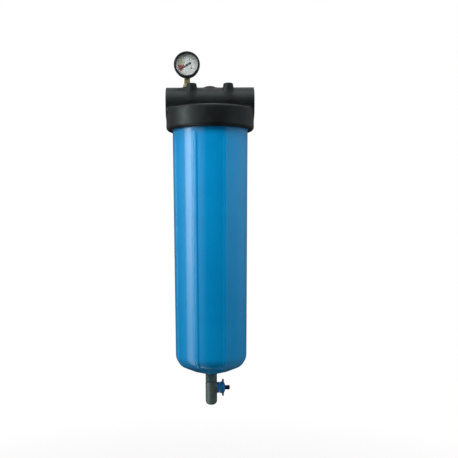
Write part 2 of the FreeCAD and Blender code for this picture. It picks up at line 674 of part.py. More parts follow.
def make_leg():
    """Drain leg: a closed tube with a rounded foot and a face for the cock."""
    body = new_body("drain_leg", z="leg_top")
    revolve(body, "XZ_Plane", [
        ("0", "0"),
        ("leg_radius", "0", "leg_top_rounding"),
        ("leg_radius", "0 - leg_length", "leg_rounding"),
        ("0", "0 - leg_length")])
    face = new_sketch(body, "YZ_Plane", level="cock_seat")
    circle(face, "0", "0 - cock_drop", "cock_radius")
    extrude(body, face, "cock_seat - leg_radius / 2", reverse=True)
    bores = (("nipple_foot_radius", "nipple_foot + fit_gap"), ("nipple_bore", "leg_length - leg_floor"))
    for radius, depth in bores:
        bore = new_sketch(body, "XY_Plane")
        circle(bore, "0", "0", radius)
        extrude(body, bore, depth, removes=True)
    hole = new_sketch(body, "YZ_Plane", level="cock_seat")
    circle(hole, "0", "0 - cock_drop", "cock_tail_radius")
    extrude(body, hole, "cock_tail + fit_gap", removes=True)
    way = new_sketch(body, "YZ_Plane")
    circle(way, "0", "0 - cock_drop", "cock_orifice")
    extrude(body, way, "cock_seat - cock_tail", removes=True, reverse=True)


def make_cock():
    """Drain cock: hub, threaded tail and the hole that the stem closes."""
    body = new_body("drain_cock", z="cock_axis")
    bore = "stem_radius + run_gap"
    revolve(body, "XZ_Plane", [
        ("cock_seat - cock_tail", "cock_orifice"),
        ("cock_seat - cock_tail", "cock_tail_radius - fit_gap"),
        ("cock_seat", "cock_tail_radius - fit_gap"),
        ("cock_seat", "cock_radius"),
        ("cock_seat + cock_hub", "cock_radius"),
        ("cock_seat + cock_hub", bore),
        ("cock_seat - cock_tail + cock_end_wall", bore),
        ("cock_seat - cock_tail + cock_end_wall", "cock_orifice")], axis="H_Axis")


def make_stem():
    """Hollow drain stem, from its rubber pad out through the knob to the hose end."""
    body = new_body("drain_stem", z="cock_axis")
    start = "stem_start + stem_pad"
    groove = "cock_seat + cock_hub / 2"
    inner = "stem_radius + run_gap - 2 * stem_seal_section - fit_gap"
    revolve(body, "XZ_Plane", [
        (start, "0"),
        (start, "stem_radius"),
        (groove + " - stem_seal_section", "stem_radius"),
        (groove + " - stem_seal_section", inner),
        (groove + " + stem_seal_section", inner),
        (groove + " + stem_seal_section", "stem_radius"),
        ("knob_end", "stem_radius"),
        ("knob_end", "hose_end_radius"),
        ("stem_end", "hose_end_radius"),
        ("stem_end", "stem_bore"),
        ("cock_seat - stem_port_radius", "stem_bore"),
        ("cock_seat - stem_port_radius", "0")], axis="H_Axis")
    port = new_sketch(body, "XY_Plane")
    circle(port, "cock_seat", "0", "stem_port_radius")
    extrude(body, port, "4 * stem_radius", removes=True, both=True)


def make_stem_pad():
    """Rubber pad that closes the drain."""
    body = new_body("drain_pad", z="cock_axis")
    revolve(body, "XZ_Plane", [
        ("stem_start", "0"),
        ("stem_start", "stem_radius - fit_gap"),
        ("stem_start + stem_pad", "stem_radius - fit_gap"),
        ("stem_start + stem_pad", "0")], axis="H_Axis")


def make_stem_seal():
    """Round seal in the groove of the drain stem, turned about the X axis."""
    body = new_body("drain_stem_seal", z="cock_axis")
    sketch = new_sketch(body, "XZ_Plane")
    circle(sketch, "cock_seat + cock_hub / 2", "stem_radius + run_gap - stem_seal_section - fit_gap",
           "stem_seal_section - fit_gap / 2")
    turn(body, sketch, "H_Axis")


def make_knob():
    """Wing knob: a barrel that narrows to the stem, with two tapered wings."""
    body = new_body("drain_wing_knob", z="cock_axis")
    bore = "stem_radius + fit_gap"
    revolve(body, "XZ_Plane", [
        ("knob_start", bore),
        ("knob_start", "cock_radius"),
        ("knob_shoulder", "cock_radius"),
        ("knob_shoulder + knob_cone / 3", "knob_tip_radius + knob_swell", "knob_cone / 3"),
        ("knob_end", "knob_tip_radius"),
        ("knob_end", bore)], axis="H_Axis")
    for side in ("", "0 - "):
        wing = new_sketch(body, "XZ_Plane")
        outline(wing, [
            ("knob_start + wing_back", side + "knob_tip_radius"),
            ("knob_start + wing_back", side + "cock_radius"),
            ("knob_shoulder - wing_tip_back", side + "wing_reach"),
            ("knob_shoulder + wing_tip_front", side + "wing_reach"),
            ("knob_shoulder + wing_root_front", side + "knob_tip_radius")])
        extrude(body, wing, "wing_width", both=True)


def make_vent_button():
    """Vent button: a low domed cap on a stem that runs through the port wall."""
    body = new_body("vent_button", z="crest")
    stem_foot = ("waterway_radius - port_radius - fit_gap"
                 " - vent_washer_thickness - 2 * vent_clip_thickness")
    revolve(body, "XZ_Plane", [
        ("0", "vent_rise"),
        ("vent_radius / 2", "vent_rise", "vent_radius / 2"),
        ("vent_radius", "0"),
        ("vent_radius", "0 - vent_skirt"),
        ("vent_stem_radius", "0 - vent_skirt"),
        ("vent_stem_radius", stem_foot),
        ("0", stem_foot)])


def make_vent_washers():
    """Valve washer that the spring pulls against the port wall, and the clip under it."""
    washer_top = "waterway_radius - port_radius - fit_gap"
    clip_top = washer_top + " - vent_washer_thickness"
    shapes = (("vent_washer", washer_top, "vent_washer_thickness", "vent_washer_radius"),
              ("vent_clip", clip_top, "vent_clip_thickness", "vent_clip_radius"))
    for name, top, thickness, radius in shapes:
        body = new_body(name, z="crest")
        ring = new_sketch(body, "XY_Plane", level=top)
        circle(ring, "0", "0", radius)
        circle(ring, "0", "0", "vent_stem_radius + fit_gap")
        extrude(body, ring, thickness, reverse=True)


def make_vent_spring():
    """Return spring between the recess and the cap, coiled from round wire."""
    body = new_body("vent_spring", z="crest")
    wire = new_sketch(body, "XZ_Plane")
    circle(wire, "vent_coil_radius", "vent_wire + fit_gap - vent_floor", "vent_wire")
    coil = body.newObject("PartDesign::AdditiveHelix", "coil")
    coil.Profile = wire
    coil.ReferenceAxis = (wire, ["V_Axis"])
    coil.Mode = "height-turns-angle"
    coil.setExpression("Turns", formula("vent_turns"))
    coil.setExpression("Height", formula("vent_floor - vent_skirt - 2 * vent_wire - 2 * fit_gap"))
    settle(body, 0.0, False)


def make_bushing():
    """Hexagon reducing bushing between the head and the gauge."""
    body = new_body("gauge_bushing", x="0 - gauge_offset", z="gauge_pad")
    hexes = new_sketch(body, "XY_Plane")
    hexagon(hexes, "bushing_flats")
    extrude(body, hexes, "bushing_height")
    tail = new_sketch(body, "XY_Plane")
    circle(tail, "0", "0", "gauge_port_radius - fit_gap")
    extrude(body, tail, "bushing_tail", reverse=True)
    bore = new_sketch(body, "XY_Plane", level="bushing_height")
    circle(bore, "0", "0", "gauge_thread_radius + fit_gap")
    extrude(body, bore, "bushing_height + bushing_tail", removes=True)


def make_gauge_stem():
    """Gauge stem: pipe thread below, wrench block above that carries the case and the tube."""
    body = new_body("gauge_stem", x="0 - gauge_offset", z="block_foot")
    neck = new_sketch(body, "XY_Plane")
    circle(neck, "0", "0", "gauge_thread_radius")
    extrude(body, neck, "gauge_neck + gauge_thread_engaged", reverse=True)
    block = new_sketch(body, "XY_Plane")
    rectangle(block, "0 - block_width / 2", "0 - block_depth / 2", "block_width / 2", "block_depth / 2")
    extrude(body, block, "block_top - block_foot")
    socket = new_sketch(body, "XY_Plane", level="block_top - block_foot")
    rectangle(socket, "0 - socket_width", "tube_setback - tube_section - socket_wall",
              "0 - fit_gap", "tube_setback + tube_section + socket_wall")
    extrude(body, socket, "socket_height")
    bore = new_sketch(body, "XY_Plane", level="0 - gauge_neck - gauge_thread_engaged")
    circle(bore, "0", "0", "gauge_bore")
    extrude(body, bore, "gauge_neck + gauge_thread_engaged + (block_top - block_foot) / 2",
            removes=True, reverse=True)


def make_gauge_case():
    """Gauge case: a round cup with its back rounded and a slot for the stem block."""
    body = new_body("gauge_case", x="0 - gauge_offset", z="gauge_height")
    revolve(body, "XY_Plane", [
        ("0", "case_back"),
        ("case_radius", "case_back", "case_rounding"),
        ("case_radius", "0 - case_front"),
        ("case_bore", "0 - case_front"),
        ("case_bore", "case_back - case_wall", "case_rounding - case_wall"),
        ("0", "case_back - case_wall")])
    slot = new_sketch(body, "XY_Plane")
    rectangle(slot, "0 - block_width / 2 - fit_gap", "0 - block_depth / 2 - fit_gap",
              "block_width / 2 + fit_gap", "block_depth / 2 + fit_gap")
    extrude(body, slot, "2 * case_radius", removes=True)


def make_bezel():
    """Bezel ring: a lip in front of the window and a skirt round the case."""
    body = new_body("gauge_bezel", x="0 - gauge_offset", z="gauge_height")
    revolve(body, "XY_Plane", [
        ("bezel_window", "0 - bezel_front"),
        ("bezel_radius", "0 - bezel_front", "bezel_lip"),
        ("bezel_radius", "bezel_skirt - bezel_front"),
        ("case_radius + fit_gap", "bezel_skirt - bezel_front"),
        ("case_radius + fit_gap", "bezel_lip - bezel_front"),
        ("bezel_window", "bezel_lip - bezel_front")])


def make_disc(name, radius, front, thickness, hole=None, screws=False):
    """A flat round plate across the gauge, with a centre hole and screw holes where it has them."""
    body = new_body(name, x="0 - gauge_offset", z="gauge_height")
    face = new_sketch(body, "XZ_Plane", level=front)
    circle(face, "0", "0", radius)
    if hole:
        circle(face, "0", "0", hole)
    if screws:
        for side in ("", "0 - "):
            circle(face, side + "dial_screw_offset", "0 - dial_screw_drop",
                   "dial_screw_radius + fit_gap")
    extrude(body, face, thickness, reverse=True)


def make_gauge_window():
    """Flat window behind the bezel's lip, and the gasket between it and the case."""
    face = "bezel_front - bezel_lip"
    make_disc("gauge_lens", "case_radius - fit_gap", face, "lens_thickness")
    make_disc("lens_gasket", "case_radius - fit_gap", face + " - lens_thickness",
              "bezel_front - bezel_lip - lens_thickness - case_front", hole="case_bore")


def make_dial():
    """Dial plate, held to the movement by two screws."""
    make_disc("gauge_dial", "dial_radius", "dial_front", "dial_thickness",
              hole="2 * spindle_radius", screws=True)
    body = new_body("dial_screws", x="0 - gauge_offset", z="gauge_height")
    steps = (("2 * dial_screw_radius", "dial_front + dial_screw_head", "dial_screw_head"),
             ("dial_screw_radius", "dial_front", "dial_thickness + plate_thickness"))
    for radius, front, length in steps:
        rings = new_sketch(body, "XZ_Plane", level=front)
        for side in ("", "0 - "):
            circle(rings, side + "dial_screw_offset", "0 - dial_screw_drop", radius)
        extrude(body, rings, length, reverse=True)


def make_movement():
    """Brass movement: two plates on two pillars, with holes for the spindle and the sector's pin."""
    body = new_body("gauge_movement", x="0 - gauge_offset", z="gauge_height")
    foot = "block_top - gauge_height + fit_gap"
    for front in ("plate_front", "plate_outer"):
        plate = new_sketch(body, "XZ_Plane", level="0 - (%s)" % front)
        outline(plate, [("plate_half_width", "plate_rise", "plate_corner"),
                        ("0 - plate_half_width", "plate_rise", "plate_corner"),
                        ("0 - plate_half_width", foot), ("plate_half_width", foot)])
        circle(plate, "0", "0", "spindle_radius + fit_gap")
        circle(plate, "0", "0 - sector_drop", "spindle_radius + fit_gap")
        if front == "plate_front":
            for side in ("", "0 - "):
                circle(plate, side + "dial_screw_offset", "0 - dial_screw_drop",
                       "dial_screw_radius + fit_gap")
        extrude(body, plate, "plate_thickness", reverse=True)
    pillars = new_sketch(body, "XZ_Plane", level="0 - plate_inner")
    for side in ("", "0 - "):
        circle(pillars, side + "(plate_half_width - pillar_inset)", "plate_rise - pillar_inset",
               "pillar_radius")
    extrude(body, pillars, "plate_gap", reverse=True)


def make_pointer():
    """Pointer: a thin tapered needle with a broad tail, on a spindle with its pinion."""
    body = new_body("gauge_pointer", x="0 - gauge_offset", z="gauge_height")
    level = "0 - (pointer_back)"
    needle = new_sketch(body, "XZ_Plane", level=level)
    outline(needle, [
        ("0 - pointer_tail", "tail_half_width"),
        ("0 - pointer_tail", "0 - tail_half_width"),
        ("0 - needle_root", "0 - needle_half_width"),
        ("pointer_length", "0 - tip_half_width"),
        ("pointer_length", "tip_half_width"),
        ("0 - needle_root", "needle_half_width")])
    extrude(body, needle, "pointer_thickness")
    hub = new_sketch(body, "XZ_Plane", level=level)
    circle(hub, "0", "0", "pointer_hub")
    extrude(body, hub, "2 * pointer_thickness")
    body.Placement = Placement(body.Placement.Base, Rotation(Vector(0, 1, 0), -size("pointer_rest")))
    spindle = new_body("pointer_spindle", x="0 - gauge_offset", z="gauge_height")
    shaft = new_sketch(spindle, "XZ_Plane", level=level)
    circle(shaft, "0", "0", "spindle_radius")
    extrude(spindle, shaft, "plate_back - pointer_back", reverse=True)
    gear = new_sketch(spindle, "XZ_Plane", level="0 - plate_inner - run_gap")
    circle(gear, "0", "0", "pinion_radius")
    extrude(spindle, gear, "plate_gap - 2 * run_gap", reverse=True)


def make_sector():
    """Toothed sector on its pin, which drives the pinion."""
    body = new_body("gauge_sector", x="0 - gauge_offset", z="gauge_height - sector_drop")
    plate = new_sketch(body, "XZ_Plane", level="0 - plate_inner - (plate_gap - sector_thickness) / 2")
    top = "sector_reach * tan(sector_angle / 4)"
    side, edge = "sector_reach * sin(sector_angle / 2)", "sector_reach * cos(sector_angle / 2)"
    outline(plate, [
        ("sector_foot", "0 - sector_foot"),
        (side, edge),
        (top, "sector_reach", "sector_crown"),
        ("0 - " + top, "sector_reach", "sector_crown"),
        ("0 - " + side, edge),
        ("0 - sector_foot", "0 - sector_foot")])
    extrude(body, plate, "sector_thickness", reverse=True)
    pivot = new_sketch(body, "XZ_Plane", level="0 - plate_front")
    circle(pivot, "0", "0", "spindle_radius")
    extrude(body, pivot, "plate_back - plate_front", reverse=True)
    swing = size("pointer_sweep * pinion_radius / (2 * sector_reach)")
    body.Placement = Placement(body.Placement.Base, Rotation(Vector(0, 1, 0), swing))


def make_pressure_tube():
    """Curved pressure tube: a round section carried along part of a circle."""
    tube = document.addObject("Part::Torus", "pressure_tube")
    tube.Label = "pressure_tube"
    tube.setExpression("Radius1", formula("tube_loop_radius"))
    tube.setExpression("Radius2", formula("tube_section"))
    tube.setExpression("Angle3", formula("tube_sweep"))
    tube.Placement = Placement(Vector(), Rotation(Vector(0, 0, -1), Vector(1, 0, 0), Vector(0, -1, 0), "XZY"))
    for axis, text in (("x", "0 - gauge_offset"), ("y", "tube_setback"), ("z", "gauge_height")):
        tube.setExpression("Placement.Base." + axis, formula(text))
    parts.append(tube)


def write_parts():
    """Check every object and shape, then write one file for each sub-part."""
    document.recompute()
    for item in document.Objects:
        if "Invalid" in item.State or "Error" in item.State:
            raise ValueError("%s failed: %s" % (item.Label, item.State))
    for part in parts:
        if part.Shape.isNull() or not part.Shape.isValid():
            raise ValueError(part.Label + " has no valid shape")
    os.makedirs("parts", exist_ok=True)
    for part in parts:
        part.Shape.exportStep("parts/%s.step" % part.Label)
        print(part.Label, len(part.Shape.Solids), round(part.Shape.Volume, 1))


make_sheet()
make_head()
make_inserts()
make_seal("spigot_seal", "spigot_radius - groove_depth + spigot_seal_section + fit_gap / 2",
          "spigot_seal_section", z="land - spigot_seal_drop")
make_sump()
make_seal("sump_seal", "rim_seal_radius", "rim_seal_section", z="sump_rim + run_gap - rim_seal_section")
make_basket()
make_bag()
make_bag_ring()
make_nipple()
make_leg()
make_cock()
make_stem()
make_stem_pad()
make_stem_seal()
make_knob()
make_vent_button()
make_vent_washers()
make_vent_spring()
make_bushing()
make_gauge_stem()
make_gauge_case()
make_bezel()
make_gauge_window()
make_dial()
make_movement()
make_pointer()
make_sector()
make_pressure_tube()
write_parts()
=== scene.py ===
import math
import bpy
import numpy as np
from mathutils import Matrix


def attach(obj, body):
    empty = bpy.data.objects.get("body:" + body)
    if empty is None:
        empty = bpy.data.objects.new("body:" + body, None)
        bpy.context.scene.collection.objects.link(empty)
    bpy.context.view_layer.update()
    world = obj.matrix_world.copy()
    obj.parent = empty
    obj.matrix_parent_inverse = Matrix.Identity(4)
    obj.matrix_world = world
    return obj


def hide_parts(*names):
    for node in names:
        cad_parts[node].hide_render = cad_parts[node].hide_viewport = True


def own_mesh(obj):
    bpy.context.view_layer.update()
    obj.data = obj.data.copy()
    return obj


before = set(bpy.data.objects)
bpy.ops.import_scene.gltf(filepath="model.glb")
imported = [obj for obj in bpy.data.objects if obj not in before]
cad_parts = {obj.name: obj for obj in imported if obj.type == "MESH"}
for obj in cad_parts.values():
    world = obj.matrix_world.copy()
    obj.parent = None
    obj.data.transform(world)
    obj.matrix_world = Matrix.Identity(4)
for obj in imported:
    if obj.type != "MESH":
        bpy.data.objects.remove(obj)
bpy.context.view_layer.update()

# Bag filter housing. Shapes are written in millimetres in the CAD's own frame and become
# metres when the mesh is made. +Z is up, X runs along the port tube, -Y faces the camera.
MM = 0.001

# Sizes that the pieces share, as in the CAD
CREST = -6.0
PORT_AXIS = -38.5
PORT_RADIUS = 32.5
PORT_END = 92.4
PORT_THREAD = 23.15
THREAD_DEPTH = 27.0
WATERWAY = 20.0
SHOULDER = -53.5
SKIRT_RIM = -98.0
HEAD_RADIUS = 92.0
SKIRT_BORE = 83.3
LAND = -72.0
CHAMBER = -62.0
BOLT_X, BOLT_Y = 38.0, 18.0
SUMP_RIM = -72.6
SUMP_LENGTH = 529.4
FOOT_RISE = 20.6
SUMP_THREAD = 83.0
SUMP_TOP = 78.7
SUMP_FOOT = 73.9
SUMP_WALL = 6.5
DRAIN_FACE = -607.0
LEG_TOP = -623.5
LEG_FOOT = -672.0
COCK_AXIS = -636.1
GAUGE_X, GAUGE_Z = -48.0, 40.7
DIAL_FACE = -6.6

# The studio's wall as gloss sees it: bearing in degrees from the camera, minus on its left, and
# brightness there. A bright strip stands in a soft glow on the left, the wall behind the camera
# is dark, the right is dim.
WALL = ((-180, 0.05), (-162, 0.05), (-142, 0.32), (-112, 0.3), (-98, 0.8), (-84, 1.4), (-80, 7.6),
        (-61, 12.4), (-57, 2.3), (-34, 1.7), (-12, 0.0), (46, 0.0), (53, 0.8), (105, 0.8),
        (145, 0.25), (180, 0.05))

# The soft boxes: name, bearing in degrees, distance and height in metres, the panel's width and
# height, its strength, and its tilt in degrees from looking straight down. Gloss sees only the
# overhead one, because the wall stands for the others there.
SOFT_BOXES = (
    ("left_soft", -62, 1.6, 0.45, 1.1, 1.2, 5.9, 75), ("front_soft", 6, 0.75, 0.65, 0.7, 0.5, 5.0, 46),
    ("right_soft", 80, 1.7, 0.35, 1.2, 1.4, 2.0, 74), ("back_soft", 172, 1.8, 0.5, 1.2, 1.2, 2.4, 72),
    ("overhead", 0, 0.5, 1.4, 1.6, 1.2, 2.0, 20))


# Shapes

def rounded(corners, steps, closed=True):
    """Points of an outline. A corner (across, up, radius) becomes an arc that touches both its
    sides: its centre lies on the corner's bisector, radius / sin(half the corner) away."""
    rows = []
    count = len(corners)
    for k, corner in enumerate(corners):
        here = np.array(corner[:2], float)
        radius = corner[2] if len(corner) > 2 else 0
        if radius == 0 or (not closed and k in (0, count - 1)):
            rows.append(here[None])
            continue
        before = np.array(corners[k - 1][:2], float) - here
        after = np.array(corners[(k + 1) % count][:2], float) - here
        before /= np.linalg.norm(before)
        after /= np.linalg.norm(after)
        half = math.acos(np.clip(before @ after, -1, 1)) / 2
        bisector = (before + after) / np.linalg.norm(before + after)
        centre = here + bisector * radius / math.sin(half)
        start = here + before * radius / math.tan(half) - centre
        end = here + after * radius / math.tan(half) - centre
        sweep = math.pi - 2 * half
        t = np.linspace(0, 1, steps)[:, None]
        rows.append(centre + (np.sin((1 - t) * sweep) * start + np.sin(t * sweep) * end) / math.sin(sweep))
    return np.concatenate(rows)


def spaced(line, gap, closed=False):
    """The line's own points, with more between those that lie further apart than gap."""
    if closed:
        line = np.concatenate([line, line[:1]])
    run = np.concatenate([[0], np.cumsum(np.linalg.norm(np.diff(line, axis=0), axis=1))])
    extra = [np.linspace(a, b, int((b - a) / gap) + 2)[1:-1] for a, b in zip(run[:-1], run[1:])]
    places = np.unique(np.concatenate([run] + extra))
    line = np.stack([np.interp(places, run, line[:, k]) for k in range(2)], -1)
    return line[:-1] if closed else line


def circle(count):
    """Angles spaced evenly round a circle."""
    return np.linspace(0, 2 * math.pi, count, endpoint=False)


def around(radius, angle, height, at=(0, 0)):
    """Points round an upright axis: radius times cosine and sine of the angle, and the height."""
    across, deep = at[0] + radius * np.cos(angle), at[1] + radius * np.sin(angle)
    return np.stack([across, deep, height + 0 * angle], -1)


def turned(profile, axis, centre, count):
    """A profile of (radius, height) turned once round an axis: radius times cosine and sine of
    the angle across the axis, height along it."""
    angle = circle(count)
    radius, height = profile[:, :1], profile[:, 1:] + 0 * angle
    a, b = radius * np.cos(angle), radius * np.sin(angle)
    points = {"z": (a, b, height), "x": (height, a, b), "y": (b, height, a)}[axis]
    return np.stack(points, -1) + np.array(centre)


def thread_profile(turns, depth, flat=0.25):
    """How far below the crest a thread lies at a number of turns: flat on the crest and in the
    root, with straight flanks between."""
    phase = np.abs((turns % 1) * 2 - 1)
    return depth * np.clip((phase - flat) / (1 - 2 * flat), 0, 1)


def eased(t):
    """A smooth step from 0 to 1: three times t squared less twice t cubed, and level outside."""
    t = np.clip(t, 0, 1)
    return t ** 2 * (3 - 2 * t)


def quads(rows, columns, closed_rows=False, closed_columns=True):
    """Corner numbers of the quads of a grid of points."""
    i = np.arange(rows if closed_rows else rows - 1)
    j = np.arange(columns if closed_columns else columns - 1)
    i, j = np.meshgrid(i, j, indexing="ij")
    ii, jj = (i + 1) % rows, (j + 1) % columns
    corners = (i * columns + j, ii * columns + j, ii * columns + jj, i * columns + jj)
    return np.stack(corners, -1).reshape(-1, 4)


def weld(points, faces):
    """Join points that coincide to 1/20000 mm. A quad with two equal corners becomes a triangle."""
    key = np.round(points * 2e4).astype(np.int64)
    _, first, index = np.unique(key, axis=0, return_index=True, return_inverse=True)
    faces = index.reshape(-1)[faces]
    same = faces == np.roll(faces, -1, axis=1)
    whole, pinched = faces[same.sum(1) == 0], faces[same.sum(1) == 1]
    start = np.argmax(pinched == np.roll(pinched, -1, axis=1), axis=1)
    turn = (start[:, None] + np.arange(1, 4)) % 4
    return points[first], whole, np.take_along_axis(pinched, turn, axis=1)


def placed(name, data):
    """A new object in the scene."""
    item = bpy.data.objects.new(name, data)
    bpy.context.scene.collection.objects.link(item)
    return item


def piece(name, parts, material, body, replaces=None, sharp=38, even=True):
    """A mesh at the origin from (points, quads) parts. Each part is closed, and is turned
    outwards by the sign of its volume, the sum of the cones from the origin to its faces."""
    points, polygons, corners, base = [], [], [], 0
    for at, faces in parts:
        at, whole, tris = weld(np.asarray(at, float).reshape(-1, 3), faces)
        fan = np.concatenate([whole[:, [0, 1, 2]], whole[:, [0, 2, 3]], tris])
        a, b, c = (at[fan[:, k]] for k in range(3))
        flip = (a * np.cross(b, c)).sum() < 0
        for group in (whole, tris):
            group = group[:, ::-1] if flip else group
            polygons.append(np.full(len(group), group.shape[1]))
            corners.append((group + base).ravel())
        points.append(at)
        base += len(at)
    points = np.concatenate(points) * MM
    corners = np.concatenate(corners).astype(np.int32)
    sizes = np.concatenate(polygons)
    mesh = bpy.data.meshes.new(name)
    mesh.vertices.add(len(points))
    mesh.vertices.foreach_set("co", points.astype(np.float32).ravel())
    mesh.loops.add(len(corners))
    mesh.loops.foreach_set("vertex_index", corners)
    mesh.polygons.add(len(sizes))
    mesh.polygons.foreach_set("loop_start", (np.cumsum(sizes) - sizes).astype(np.int32))
    mesh.update(calc_edges=True)
    mesh.shade_smooth()
    if sharp:
        mesh.set_sharp_from_angle(angle=math.radians(sharp))
    mesh.materials.append(material)
    item = placed(name, mesh)
    if even:
        item.modifiers.new("even_normals", "WEIGHTED_NORMAL").keep_sharp = True
    if replaces:
        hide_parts(replaces)
    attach(item, body)
    return item


def lathe(corners, axis, centre, count):
    """A closed outline of (radius, height, rounding) corners turned round an axis."""
    profile = spaced(rounded(corners, 5), math.inf, closed=True)
    return turned(profile, axis, centre, count), quads(len(profile), count, True)


def prism(outline, low, high, edge, plane="xy", centre=(0, 0, 0)):
    """An outline pushed from low to high and closed by its middle. Its two ends are drawn in by
    edge along a quarter circle."""
    middle = outline.mean(0)
    reach = np.linalg.norm(outline - middle, axis=1).max()
    level = np.concatenate([[low, low], low + edge * np.array([0.3, 1])])
    level = np.concatenate([level, (low + high) - level[::-1]])
    pull = np.array([1e9, 1, 0.3, 0]) * edge
    pull = np.concatenate([pull, pull[::-1]])
    flat = middle + (outline - middle) * np.clip(1 - pull / reach, 0, 1)[:, None, None]
    a, b, height = flat[..., 0], flat[..., 1], level[:, None] + 0 * flat[..., 0]
    points = {"xy": (a, b, height), "xz": (a, height, b)}[plane]
    return np.stack(points, -1) + np.array(centre), quads(len(level), len(outline))


# Fields: a value below nought inside the shape, in millimetres outside it

def join(a, b, blend):
    """The nearer of two fields, with a fillet of about blend where they meet."""
    h = np.maximum(blend - np.abs(a - b), 0) / blend
    return np.minimum(a, b) - h * h * blend / 4


def cut(a, b, blend):
    """Field a with b taken away, with an edge rounded by about blend."""
    return -join(-a, b, blend)


def shared(first, *others):
    """What all the fields have in common, with sharp edges: the greatest of their values."""
    for other in others:
        first = np.maximum(first, other)
    return first


def puck(radial, along, radius, low, high, low_round, high_round):
    """A round bar from low to high whose two end edges are rounded."""
    middle, half = (low + high) / 2, (high - low) / 2
    edge = np.where(along > middle, high_round, low_round)
    across, up = radial - radius + edge, np.abs(along - middle) - half + edge
    return np.minimum(np.maximum(across, up), 0) + np.hypot(np.maximum(across, 0), np.maximum(up, 0)) - edge


def nets(field, low, high, step):
    """The surface where a field is nought. Each cell of a grid that it crosses gives a point, the
    mean of the crossings on the cell's edges, which then slides down the field's slope onto
    the surface. Each grid edge that it crosses gives a quad between the four cells round it."""
    axes = [np.arange(a, b + step, step) for a, b in zip(low, high)]
    value = field(*np.meshgrid(*axes, indexing="ij"))
    cells = tuple(n - 1 for n in value.shape)
    total, hits = np.zeros(cells + (3,)), np.zeros(cells)
    crossings = []
    for axis in range(3):
        a = np.take(value, range(0, value.shape[axis] - 1), axis)
        b = np.take(value, range(1, value.shape[axis]), axis)
        crossed = (a < 0) != (b < 0)
        crossings.append((crossed, a < 0))
        share = np.where(crossed, a / np.where(crossed, a - b, 1), 0)
        spot = np.stack(np.meshgrid(*[ax[:n] for ax, n in zip(axes, a.shape)], indexing="ij"), -1)
        spot[..., axis] += share * step
        spot *= crossed[..., None]
        others = [k for k in range(3) if k != axis]
        for u in (0, 1):
            for v in (0, 1):
                window = [slice(None)] * 3
                window[others[0]] = slice(u, u + cells[others[0]])
                window[others[1]] = slice(v, v + cells[others[1]])
                total += spot[tuple(window)]
                hits += crossed[tuple(window)]
    used = hits > 0
    number = np.full(cells, -1)
    number[used] = np.arange(used.sum())
    points = total[used] / hits[used][:, None]
    faces = []
    for axis, (crossed, inside) in enumerate(crossings):
        u, v = (axis + 1) % 3, (axis + 2) % 3
        inner = [slice(None)] * 3
        inner[u], inner[v] = slice(1, -1), slice(1, -1)
        at = np.stack(np.nonzero(crossed[tuple(inner)]), -1)
        at[:, u] += 1
        at[:, v] += 1
        ring = []
        for du, dv in ((-1, -1), (0, -1), (0, 0), (-1, 0)):
            cell = at.copy()
            cell[:, u] += du
            cell[:, v] += dv
            ring.append(number[tuple(cell.T)])
        ring = np.stack(ring, -1)
        outward = inside[tuple(at.T)]
        faces.append(np.where(outward[:, None], ring, ring[:, ::-1]))
    probe = 0.02 * step
    for _ in range(3):
        here = field(*points.T)
        slope = np.stack([(field(*(points + probe * d).T) - field(*(points - probe * d).T)) / (2 * probe)
                          for d in np.eye(3)], -1)
        move = -here[:, None] * slope / np.maximum((slope ** 2).sum(1), 0.25)[:, None]
        far = np.linalg.norm(move, axis=1, keepdims=True)
        points = points + move * np.minimum(1, 0.4 * step / np.maximum(far, 1e-9))
    return points, np.concatenate(faces)


# Finishes


def linear(code):
    """An sRGB hex colour as linear numbers."""
    values = np.array([int(code[i:i + 2], 16) for i in (0, 2, 4)]) / 255
    values = np.where(values <= 0.04045, values / 12.92, ((values + 0.055) / 1.055) ** 2.4)
    return (*values.tolist(), 1.0)


def add(tree, kind, sockets=None, **settings):
    """Add a node, set its own settings, then its sockets: a number or colour, or (node, output)."""
    node = tree.nodes.new(kind)
    for name, value in settings.items():
        setattr(node, name, value)
    for name, value in (sockets or {}).items():
        if isinstance(value, tuple) and isinstance(value[0], bpy.types.Node):
            tree.links.new(value[0].outputs[value[1]], node.inputs[name])
        else:
            node.inputs[name].default_value = value
    return node


def empty_material(name):
    """A material with no nodes but the place on the piece that its patterns follow."""
    material = bpy.data.materials.new(name)
    material.use_nodes = True
    tree = material.node_tree
    tree.nodes.clear()
    return material, tree, (add(tree, "ShaderNodeTexCoord"), "Object")


